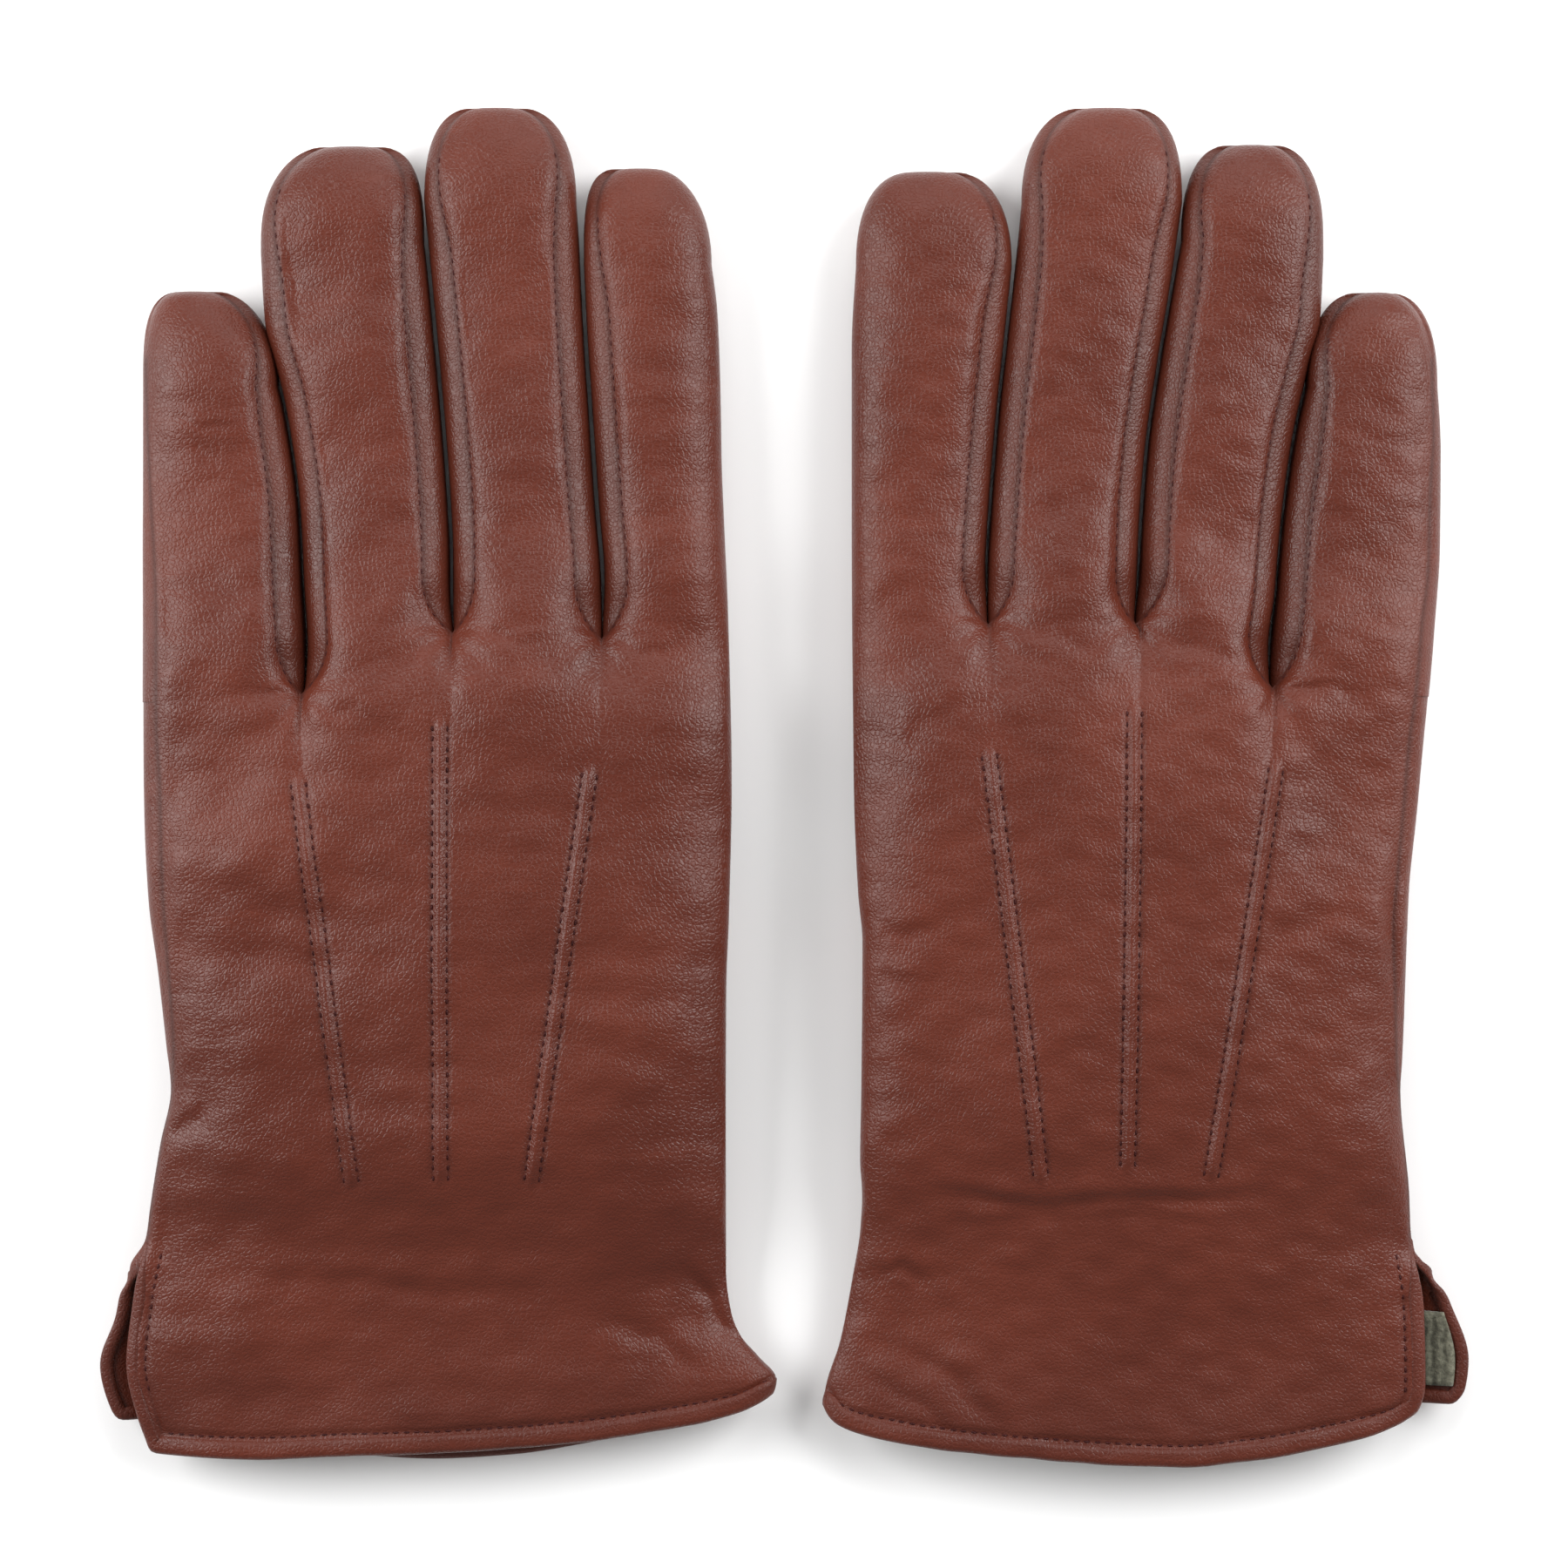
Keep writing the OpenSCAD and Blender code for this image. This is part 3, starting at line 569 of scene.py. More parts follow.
class Nodes:
    """A short way of writing node trees."""

    def __init__(self, name):
        self.material = bpy.data.materials.new(name)
        self.material.use_nodes = True
        self.tree = self.material.node_tree
        self.tree.nodes.clear()
        self.output = self.tree.nodes.new("ShaderNodeOutputMaterial")
        self.coords = self.tree.nodes.new("ShaderNodeTexCoord").outputs["Object"]

    def new(self, kind, settings=None, **inputs):
        node = self.tree.nodes.new("ShaderNode" + kind)
        for key, value in (settings or {}).items():
            setattr(node, key, value)
        for key, value in inputs.items():
            key = key.replace("_", " ")
            socket = node.inputs[int(key[1:])] if key[0] == "i" and key[1:].isdigit() else node.inputs[key]
            if isinstance(value, bpy.types.NodeSocket):
                self.tree.links.new(value, socket)
            else:
                socket.default_value = value
        return node

    def math(self, op, a, b=0.0, c=0.0):
        return self.new("Math", {"operation": op}, i0=a, i1=b, i2=c).outputs[0]

    def stretched(self, scale):
        return self.new("Mapping", Vector=self.coords, Scale=scale).outputs[0]

    def noise(self, scale, detail=3.0, rough=0.5, vector=None):
        return self.new("TexNoise", Vector=vector or self.coords, Scale=scale, Detail=detail,
                        Roughness=rough).outputs["Fac"]

    def ramp(self, value, low, high, to_low=0.0, to_high=1.0):
        node = self.new("MapRange", {"interpolation_type": "SMOOTHSTEP"}, Value=value, From_Min=low,
                        From_Max=high,
                        To_Min=to_low, To_Max=to_high)
        return node.outputs[0]

    def mix(self, fac, a, b, blend="MIX"):
        node = self.new("Mix", {"data_type": "RGBA", "blend_type": blend}, i0=fac)
        for socket, value in ((node.inputs[6], a), (node.inputs[7], b)):
            if isinstance(value, bpy.types.NodeSocket):
                self.tree.links.new(value, socket)
            else:
                socket.default_value = value
        return node.outputs[2]

    def finish(self, shader):
        self.tree.links.new(shader.outputs[0], self.output.inputs["Surface"])
        return self.material


def leather_material(name, base, deep, pale, rough=0.37):
    """Dyed nappa: tiny pebbled grain, wrinkles across the stretch, mottled dye, and painted shade that
    darkens the seams, stitch rows, hem and cuff, which are also matter.
    """
    k = Nodes(name)
    painted_shade = k.new("Attribute", {"attribute_name": "painted_shade"}).outputs["Fac"]
    cloud = k.noise(28.0, 4.0, 0.6)
    fine = k.noise(420.0, 3.0, 0.6)
    streak = k.noise(95.0, 4.0, 0.65, k.stretched((0.5, 1.9, 1.0)))
    colour = k.mix(k.ramp(cloud, 0.34, 0.68), deep, base)
    colour = k.mix(k.math("MULTIPLY", k.ramp(streak, 0.55, 0.85), 0.35), colour, pale)
    colour = k.mix(k.math("MULTIPLY", k.ramp(fine, 0.35, 0.6, 1.0, 0.0), 0.16), colour, deep)
    # painted shade: the point attribute mixes the colour towards 0.42 of the deep tone in the seam grooves,
    # stitch rows, hem row and towards the cuff
    colour = k.mix(k.math("MULTIPLY", k.ramp(painted_shade, 0.0, 1.0), 0.7), colour,
                   tuple(0.42 * c for c in deep[:3]) + (1,))
    grain = k.new("TexVoronoi", {"feature": "DISTANCE_TO_EDGE"}, Vector=k.coords,
                  Scale=1250.0).outputs["Distance"]
    pores = k.noise(2600.0, 2.0, 0.6)
    wrinkle = k.noise(330.0, 3.0, 0.62, k.stretched((0.42, 1.5, 1.0)))
    rough_in = k.math("ADD", k.ramp(cloud, 0.3, 0.7, rough - 0.04, rough + 0.04),
                      k.math("MULTIPLY", painted_shade, 0.2))
    rough_in = k.math("ADD", rough_in, k.ramp(pores, 0.3, 0.7, -0.05, 0.05))
    bump1 = k.new("Bump", Strength=0.30, Distance=0.0004, Height=wrinkle)
    bump2 = k.new("Bump", Strength=0.32, Distance=0.0002, Height=k.ramp(grain, 0.0, 0.25),
                  Normal=bump1.outputs[0])
    bump3 = k.new("Bump", Strength=0.16, Distance=0.00012, Height=pores, Normal=bump2.outputs[0])
    shader = k.new("BsdfPrincipled", Base_Color=colour, Roughness=rough_in, Normal=bump3.outputs[0])
    shader.inputs["Specular IOR Level"].default_value = 0.30
    return k.finish(shader)


def lining_material():
    """Brushed knit: fine ribs under a fuzzy nap."""
    k = Nodes("lining_knit")
    nap = k.noise(900.0, 5.0, 0.7)
    tuft = k.noise(260.0, 4.0, 0.65)
    wales = k.new("TexWave", {"wave_type": "BANDS", "bands_direction": "X"}, Vector=k.coords, Scale=170.0,
                  Distortion=2.2,
                  Detail=2.0, Detail_Scale=3.0).outputs["Fac"]
    colour = k.mix(k.ramp(nap, 0.3, 0.75), srgb(74, 73, 62), srgb(128, 127, 110))
    colour = k.mix(k.math("MULTIPLY", wales, 0.3), colour, srgb(92, 88, 74))
    height = k.math("ADD", k.math("MULTIPLY", tuft, 0.6), k.math("ADD", k.math("MULTIPLY", nap, 0.5),
                                                                 k.math("MULTIPLY", wales, 0.4)))
    bump = k.new("Bump", Strength=0.85, Distance=0.0006, Height=height)
    shader = k.new("BsdfPrincipled", Base_Color=colour, Roughness=k.ramp(nap, 0.2, 0.8, 0.82, 0.98),
                   Normal=bump.outputs[0])
    shader.inputs["Sheen Weight"].default_value = 0.5
    shader.inputs["Sheen Roughness"].default_value = 0.4
    shader.inputs["Specular IOR Level"].default_value = 0.2
    return k.finish(shader)


def thread_material():
    """Twisted sewing thread."""
    k = Nodes("sewing_thread")
    twist = k.new("TexWave", {"wave_type": "BANDS", "bands_direction": "DIAGONAL"}, Vector=k.coords,
                  Scale=1500.0,
                  Distortion=0.6, Detail=1.0).outputs["Fac"]
    shade = k.noise(500.0, 2.0)
    colour = k.mix(k.math("MULTIPLY", twist, 0.5), srgb(52, 15, 14), srgb(76, 28, 24))
    colour = k.mix(k.ramp(shade, 0.35, 0.7, 0.0, 0.4), colour, srgb(28, 8, 9))
    bump = k.new("Bump", Strength=0.6, Distance=0.00008, Height=twist)
    shader = k.new("BsdfPrincipled", Base_Color=colour, Roughness=k.ramp(shade, 0.3, 0.7, 0.42, 0.6),
                   Normal=bump.outputs[0])
    shader.inputs["Specular IOR Level"].default_value = 0.15
    return k.finish(shader)


BASE, DEEP, PALE = srgb(89, 37, 23), srgb(79, 32, 20), srgb(103, 47, 32)
hide = leather_material("leather_nappa", BASE, DEEP, PALE)
hide_side = leather_material("leather_fourchette", srgb(86, 37, 24), srgb(74, 31, 20), srgb(98, 46, 32), 0.38)
knit = lining_material()
thread = thread_material()


# ---------------------------------------------------------------- stitches
def capsules(centres, directions, up, radius, length):
    """Many short rounded stitches at once: centre points, directions and surface normals as arrays."""
    rings, sides = 5, 6
    p, d, n = (np.asarray(k, float) for k in (centres, directions, up))
    d = d / np.linalg.norm(d, axis=1, keepdims=True)
    side = np.cross(d, n)
    side /= np.linalg.norm(side, axis=1, keepdims=True)
    n = np.cross(side, d)
    along = np.array([-0.5, -0.36, 0, 0.36, 0.5]) * length
    width = np.array([0.25, 0.85, 1.0, 0.85, 0.25]) * radius
    lift = np.array([-0.9, -0.15, 0.25, -0.15, -0.9]) * radius
    angle = np.arange(sides) * 2 * math.pi / sides
    v = (p[:, None, None] + d[:, None, None] * along[None, :, None, None]
         + n[:, None, None] * lift[None, :, None, None]
         + side[:, None, None] * (width[:, None] * np.cos(angle))[None, ..., None]
         + n[:, None, None] * (width[:, None] * np.sin(angle))[None, ..., None])
    faces = []
    for i in range(rings - 1):
        for j in range(sides):
            k = (j + 1) % sides
            faces.append([i * sides + j, i * sides + k, (i + 1) * sides + k, (i + 1) * sides + j])
    last = (rings - 1) * sides
    faces += [[3, 2, 1, 0], [5, 4, 3, 0], [last, last + 1, last + 2, last + 3],
              [last, last + 3, last + 4, last + 5]]
    faces = np.array(faces)
    count = len(p)
    faces = faces[None] + (np.arange(count) * rings * sides)[:, None, None]
    return v.reshape(-1, 3), faces.reshape(-1, 4)


def along_path(path, pitch, start=0.0, wobble=0.05):
    """Points every pitch mm on a polyline, with the direction there."""
    path = np.asarray(path, float)
    steps = np.linalg.norm(np.diff(path, axis=0), axis=1)
    total = np.r_[0, np.cumsum(steps)]
    at = np.arange(start + pitch / 2, total[-1], pitch)
    at = at + rng.uniform(-wobble, wobble, len(at)) * pitch
    xy = np.stack([np.interp(at, total, path[:, i]) for i in range(path.shape[1])], 1)
    ahead = np.stack([np.interp(at + 0.3, total, path[:, i]) for i in range(path.shape[1])], 1)
    behind = np.stack([np.interp(at - 0.3, total, path[:, i]) for i in range(path.shape[1])], 1)
    return xy, ahead - behind


# ---------------------------------------------------------------- one glove
def finger_ring(back, high, palm, low):
    """The closed sections of a finger from its panels, in order round the finger."""
    parts = [back]
    parts.append(high[:, 1:] if high is not None else palm[:, ::-1][:, 1:])
    if high is not None:
        parts.append(palm[:, ::-1][:, 1:])
    parts.append(low[:, ::-1][:, 1:-1])
    return np.concatenate(parts, 1)


def ring_normals(p):
    """Normals of a grid of rings, pointing away from each ring's middle."""
    across = np.roll(p, -1, 1) - np.roll(p, 1, 1)
    along = np.gradient(p, axis=0)
    n = np.cross(across, along)
    out = n / np.maximum(np.linalg.norm(n, axis=2, keepdims=True), 1e-9)
    centre = p.mean(axis=1, keepdims=True)
    flip = np.sign(np.sum(out * (p - centre), axis=(1, 2), keepdims=True))
    return out * flip


def tube_shell(outer, inner):
    """A closed tube wall between two grids of rings."""
    ni, nj = outer.shape[:2]
    n = ni * nj
    i, j = np.meshgrid(np.arange(ni - 1), np.arange(nj), indexing="ij")
    a, b = (i * nj + j).ravel(), (i * nj + (j + 1) % nj).ravel()
    skin = np.stack([a, b, b + nj, a + nj], 1)
    faces = [skin, skin[:, ::-1] + n]
    j = np.arange(nj)
    k = (j + 1) % nj
    faces.append(np.stack([k, j, j + n, k + n], 1))
    last = (ni - 1) * nj
    faces.append(np.stack([last + j, last + k, last + k + n, last + j + n], 1))
    return np.concatenate([outer.reshape(-1, 3), inner.reshape(-1, 3)]), np.concatenate(faces)


def add_relief(g, skin):
    """Pushes folds and points into the back of the joined surface, less so at the sides and the seams."""
    v = skin.v
    facing = np.clip(skin.n[:, 2], 0, 1)
    fade = soft(facing / 0.75) * (1 - skin.e)
    skin.v = v + np.array([0, 0, 1.0]) * (relief(g, v[:, 0], v[:, 1]) * fade)[:, None]


def build_glove(g):
    """All the pieces of one glove: its leather, lining, thumb, hem and stitches."""
    side = g["side"]
    hand_body = side + "_hand"
    rows = {n: finger_rows(g, n) for n in FINGERS}
    backs = {n: finger_face(rows[n], BACK_COLUMNS, 1) for n in FINGERS}
    palms = {n: finger_face(rows[n], PALM_COLUMNS, -1) for n in FINGERS}
    lows = {n: finger_wall(rows[n], "lo") for n in FINGERS}
    highs = {n: finger_wall(rows[n], "hi") if rows[n]["wall_hi"] else None for n in FINGERS}

    # the four fingers meet at shared crotch points: ease each seam end to the mean height there
    shift = {n: dict(lo=[0, 0], hi=[0, 0]) for n in FINGERS}
    for a, b in zip(FINGERS[:-1], FINGERS[1:]):
        for k, grids in enumerate((backs, palms)):
            za, zb = grids[a][0, -1, 2], grids[b][0, 0, 2]
            shift[a]["hi"][k], shift[b]["lo"][k] = (zb - za) / 2, (za - zb) / 2
    for n in FINGERS:
        fade = np.exp(-(rows[n]["y_lo"] - rows[n]["y_lo"][0]) / 8)[:, None]
        for k, grids in enumerate((backs, palms)):
            q = np.linspace(0, 1, grids[n].shape[1])[None, :]
            grids[n][..., 2] += fade * lerp(shift[n]["lo"][k], shift[n]["hi"][k], q)
        w = (1 - np.linspace(1, -1, SIDE_COLUMNS)[None, :]) / 2
        lows[n][..., 2] += fade * lerp(*shift[n]["lo"], w)
        if highs[n] is not None:
            highs[n][..., 2] += fade * lerp(*shift[n]["hi"], w)

    top_back = np.concatenate([backs[n][0, (0 if n == "little" else 1):] for n in FINGERS])
    top_palm = np.concatenate([palms[n][0, (0 if n == "little" else 1):] for n in FINGERS])
    hand_back = hand_grid(g, top_back, 1)
    hand_palm = hand_grid(g, top_palm, -1)
    side_grid = hand_side(g, hand_back[:, 0], hand_palm[:, 0])

    skin = Skin()
    side_fade = 1 - soft((hand_back[..., 0] - hand_back[:, :1, 0]) / 3.5)
    skin.add(hand_back, "back_panel", True, side_fade)
    skin.add(hand_palm, "palm_panel", False)
    skin.add(side_grid, "palm_panel", False)
    valley = {}
    for n in FINGERS:
        r = rows[n]
        p = backs[n]
        d_lo = np.linalg.norm(p[:, :, :2] - p[:, :1, :2], axis=2)
        d_hi = np.linalg.norm(p[:, :, :2] - p[:, -1:, :2], axis=2) + (0 if r["wall_hi"] else 99)
        near = np.minimum(d_lo, d_hi)
        open_up = soft((r["y_lo"] - r["y_lo"][0]) / 9)[:, None] * (1 - soft((r["t"] - 0.35) / 0.5))[:, None]
        groove = near if r["wall_lo"] else d_hi
        p[..., 2] -= 0.5 * np.exp(-((groove / 0.9) ** 2)) * open_up
        valley[n] = 0.5 * open_up[:, 0]
        rise = soft((r["y_lo"] - r["y_lo"][0]) / 5)[:, None]
        keep_low = 1 if r["wall_lo"] else 1 / np.maximum(rise, 0.05)
        seam_fade = np.maximum((1 - soft(d_lo / 2.6)) * rise * keep_low, (1 - soft(d_hi / 2.6)) * rise)
        skin.add(p, n + "_back", True, np.clip(seam_fade, 0, 1))
        skin.add(palms[n], n + "_palm", False)
    # the little finger's palm leather runs round its free side to the back's seam
    skin.add(lows["little"], "little_palm", False)
    skin.join()
    add_relief(g, skin)
    skin.n = normals_of(skin.v, skin.f)
    wound_up = skin.n[np.argmax(skin.v[:, 2]), 2] > 0
    if not wound_up:
        skin.n = -skin.n

    def painted_shade_at(v):
        """Painted shade: dark in the seam grooves, beside the points' stitch rows, along the side seam, in
        the hem's stitch row and towards the cuff at the lower end.
        """
        # each term paints shade where a groove, valley or the sloping cuff lies
        w = np.zeros(len(v))
        for n in FINGERS:
            for edge, has in ((backs[n][:, 0], rows[n]["wall_lo"]), (backs[n][:, -1], rows[n]["wall_hi"])):
                if has:
                    near = np.abs(v[:, 0] - np.interp(v[:, 1], edge[:, 1], edge[:, 0]))
                    inside = (v[:, 1] > edge[0, 1] - 1) & (v[:, 1] < edge[-1, 1] + 2)
                    w = np.maximum(w, 0.85 * np.exp(-((near / 0.75) ** 2)) * inside)
        for a, b in g["points"]:
            d, t = segment(v[:, 0], v[:, 1], a, b)
            on = (t > 0) & (t < 1)
            w = np.maximum(w, 0.35 * np.exp(-(((np.abs(d) - 1.5) / 0.5) ** 2)) * on)
        side_seam = np.abs(v[:, 0] - g["seam_little"](v[:, 1])) + 9 * (v[:, 1] > 78)
        w = np.maximum(w, 0.8 * np.exp(-((side_seam / 0.5) ** 2)) * (1 - vent(v[:, 1])))
        hem = hem_distance(g, v[:, 0], v[:, 1])
        w = np.maximum(w, 0.45 * np.exp(-(((hem - HEM_ROW) / 0.6) ** 2)))
        w = np.maximum(w, 0.30 * soft((-92 - v[:, 1]) / 30))
        return w

    def add_piece(name, material, body=None, finger=None):
        v, f, n = skin.piece(name)
        if not wound_up:
            f = f[:, ::-1]
        thick = LEATHER
        if finger:
            thick = thick * np.clip((v[:, 1:2].max() - v[:, 1:2]) / 5, 0.08, 1)
        points, faces, normals = shell(v, f, n, thick)
        # each panel carries painted shade in its seams, stitch rows, hem and towards the cuff, on both faces
        obj = mesh_object(g, f"{side}_{name}_leather", points, faces, material, normals,
                          np.tile(painted_shade_at(v), 2))
        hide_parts(f"{side}_{name}")
        if finger:
            bend(g, obj, finger)
        else:
            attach(obj, body)

    add_piece("back_panel", hide, hand_body)
    add_piece("palm_panel", hide, hand_body)
    for n in FINGERS:
        add_piece(n + "_back", hide, finger=n)
        add_piece(n + "_palm", hide, finger=n)

    # the fourchettes, which line the sides between the fingers
    walls = dict(little=(("fourchette", "hi"),), ring=(("fourchette_out", "lo"), ("fourchette_in", "hi")),
                 middle=(("fourchette_out", "lo"), ("fourchette_in", "hi")), index=(("fourchette", "lo"),))
    for n in FINGERS:
        for label, which in walls[n]:
            w = (lows if which == "lo" else highs)[n].copy()
            k = np.linspace(1, -1, SIDE_COLUMNS)[None, :]
            edge_row = w[:, 0]
            start_y = rows[n]["y_" + which][0]
            fade = 1 - soft((edge_row[:, 1] - start_y) / 5)
            carry = relief(g, edge_row[:, 0], edge_row[:, 1]) * fade * 0.8
            w[..., 2] += np.maximum(k, 0) ** 2 * carry[:, None]
            w[..., 2] -= valley[n][:, None] * np.maximum(k, 0) ** 8
            wall = Skin()
            wall.add(w, label)
            wall.join()
            v, f, nn = wall.piece(label)
            outward = -1.0 if which == "lo" else 1.0
            if np.mean(nn[:, 0]) * outward < 0:
                f, nn = f[:, ::-1], -nn
            end = rows[n]["y_lo"][-1]
            thick = LEATHER * np.clip((end - v[:, 1:2]) / 7, 0.08, 1)
            points, faces, normals = shell(v, f, nn, thick)
            # painted shade in the fourchettes' seams, at 0.45 of the strength the panels get
            wall_painted_shade = np.tile(painted_shade_at(v) * 0.45, 2)
            obj = mesh_object(g, f"{side}_{n}_{label}_leather", points, faces, hide_side, normals, wall_painted_shade)
            nodes = [f"{side}_{n}_{label}"]
            if n == "ring" and which == "lo":
                nodes.append(f"{side}_crotch_gusset")
            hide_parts(*nodes)
            bend(g, obj, n)

    build_lining(g, rows, backs, palms, lows, highs, hand_back, hand_palm, side_grid)
    build_thumb(g)
    build_hem(g, skin, hand_back, hand_palm, side_grid)
    build_stitches(g, skin, rows, backs, hand_back)


def grid_normals(p):
    n = np.cross(np.gradient(p, axis=1), np.gradient(p, axis=0))
    return n / np.maximum(np.linalg.norm(n, axis=2, keepdims=True), 1e-9)


def build_lining(g, rows, backs, palms, lows, highs, hand_back, hand_palm, side_grid):
    """The knitted lining: one bag in the hand and one tube in each finger, just inside the leather."""
    side = g["side"]
    gap, thick = LEATHER + LINING_GAP, LINING
    back, palm = hand_back[3::4, 2:-18:6].copy(), hand_palm[3::4, 0:-6:4].copy()
    back = np.concatenate([hand_back[1:2, 2:-18:6], back], 0)
    folds = relief(g, back[..., 0], back[..., 1]) * (1 - np.exp(-(back[..., 0] - back[:, :1, 0]) / 3))
    back[..., 2] += np.minimum(folds, 0) * 1.15 - 0.15
    palm = np.concatenate([hand_palm[1:2, 0:-6:4], palm], 0)
    for p, sign in ((back, 1), (palm, -1)):
        n = grid_normals(p)
        if np.mean(n[..., 2]) * sign < 0:
            n = -n
        f = grid_faces(*p.shape[:2])
        if normals_of(p.reshape(-1, 3), f)[:, 2].mean() * sign < 0:
            f = f[:, ::-1]
        points, faces, _ = shell(p.reshape(-1, 3), f, n.reshape(-1, 3), thick, gap)
        obj = mesh_object(g, f"{side}_lining_{'back' if sign > 0 else 'palm'}", points, faces, knit)
        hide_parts(f"{side}_hand_lining")
        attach(obj, side + "_hand")
    if g["sign"] < 0:
        # the right-hand glove's vent stands open and shows the lining on its flap
        low = side_grid[(side_grid[:, -1, 1] < -96) & (side_grid[:, -1, 1] > -111.5)][::2, 3:]
        f = grid_faces(*low.shape[:2])
        if normals_of(low.reshape(-1, 3), f)[:, 2].mean() > 0:
            f = f[:, ::-1]
        down = np.tile([0, 0, -1.0], (low.shape[0] * low.shape[1], 1))
        points, faces, _ = shell(low.reshape(-1, 3), f, down, thick, LEATHER + 0.05)
        obj = mesh_object(g, f"{side}_lining_flap", points, faces, knit)
        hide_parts(f"{side}_hand_lining")
        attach(obj, side + "_hand")
    for n in FINGERS:
        ring = finger_ring(backs[n][:, ::4], highs[n], palms[n], lows[n])
        keep = np.r_[np.arange(4, FINGER_ROWS, 4), FINGER_ROWS + np.arange(0, 8, 2)]
        p = ring[keep]
        nn = ring_normals(p)
        points, faces = tube_shell(p - nn * gap, p - nn * (gap + thick * 0.8))
        obj = mesh_object(g, f"{side}_{n}_lining_tube", points, faces, knit)
        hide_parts(f"{side}_{n}_lining")
        bend(g, obj, n)


def build_thumb(g):
    """The thumb, folded flat under the palm from the index-finger side."""
    side = g["side"]
    n_u, s_body, s_tip = 22, 34, 12

    def grid(off):
        """The thumb's rings, off mm inside its outer face."""
        t = np.r_[np.zeros(s_body), np.linspace(0, 0.995, s_tip + 1)[1:]]
        st = THUMB_LENGTH - THUMB_WIDTH / 2
        s = np.r_[np.linspace(0, st, s_body), st + (THUMB_WIDTH / 2 - off) * t[s_body:]]
        k = 1 - soft(s / 22)
        across_dir = np.stack([THUMB_DIR[1] * (1 - k), -THUMB_DIR[0] * (1 - k) + k], 1)
        half = (THUMB_WIDTH / 2 * (1 + 0.22 * k) - off) * (0.4 + 0.6 * np.maximum(0, 1 - t**2.6) ** (1 / 2.6))
        open_up = soft(s / 15)
        thick = lerp(0.95, 3.85, open_up) * np.maximum(0, 1 - t**3) ** (1 / 3)
        thick = np.maximum(thick - off, 0.06)
        zc = lerp(10.7, 4.15, open_up) - 0.5 * t * t
        phi = np.linspace(0, 2 * math.pi, 2 * n_u, endpoint=False)
        cu, su = np.cos(phi), np.sin(phi)
        power = 2 / ROUND
        u = np.sign(cu) * np.abs(cu) ** power
        h = np.sign(su) * np.abs(su) ** power
        centre = THUMB_ROOT[None] + THUMB_DIR[None] * s[:, None]
        ripple = 0.16 * np.sin(s[:, None] * 1.3 + 2.5 * u[None])
        ripple = ripple * soft((22 - s[:, None]) / 10) * soft(s[:, None] / 4)
        x = centre[:, None, 0] + across_dir[:, None, 0] * half[:, None] * u[None]
        y = centre[:, None, 1] + across_dir[:, None, 1] * half[:, None] * u[None]
        x = np.minimum(x, g["outline_index"](y) - 1.2 - off)
        z = zc[:, None] + thick[:, None] * h[None] + ripple * (1 if off == 0 else 0)
        return np.stack([x, y, np.maximum(z, 0.15 + off * 0.9)], -1)

    outer, inner = grid(0), grid(LEATHER * 0.85)
    points, faces = tube_shell(outer, inner)
    # an even slight painted shade over the thumb, which lies under the palm
    obj = mesh_object(g, side + "_thumb_skin", points, faces, hide, painted_shade=np.full(len(points), 0.1))
    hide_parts(side + "_thumb_leather")
    root_x = outer[0, :, 0].min()
    fold = [tuple(place(g, [x, THUMB_ROOT[1], THUMB_HINGE_HEIGHT]).tolist())
            for x in (root_x, root_x - THUMB_FOLD)]
    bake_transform(obj)
    # the lining starts past the fold, where the leather no longer stretches
    rows = np.arange(22, s_body + 6, 2)
    points, faces = tube_shell(grid(LEATHER + 0.15)[rows][:, ::2], grid(LEATHER + 0.8)[rows][:, ::2])
    obj = mesh_object(g, side + "_thumb_lining_tube", points, faces, knit)
    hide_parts(side + "_thumb_lining")
    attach(obj, side + "_thumb")


def nearest_normals(skin, points):
    tree = BVHTree.FromPolygons(skin.v.tolist(), skin.f.tolist())
    out = np.zeros_like(points)
    for i, p in enumerate(points):
        _, _, face, _ = tree.find_nearest(Vector(p))
        out[i] = skin.n[skin.f[face]].mean(axis=0)
    return out / np.maximum(np.linalg.norm(out, axis=1, keepdims=True), 1e-9)


def smooth_loop(p, rounds):
    for _ in range(rounds):
        p = (np.roll(p, 1, 0) + 2 * p + np.roll(p, -1, 0)) / 4
    return p


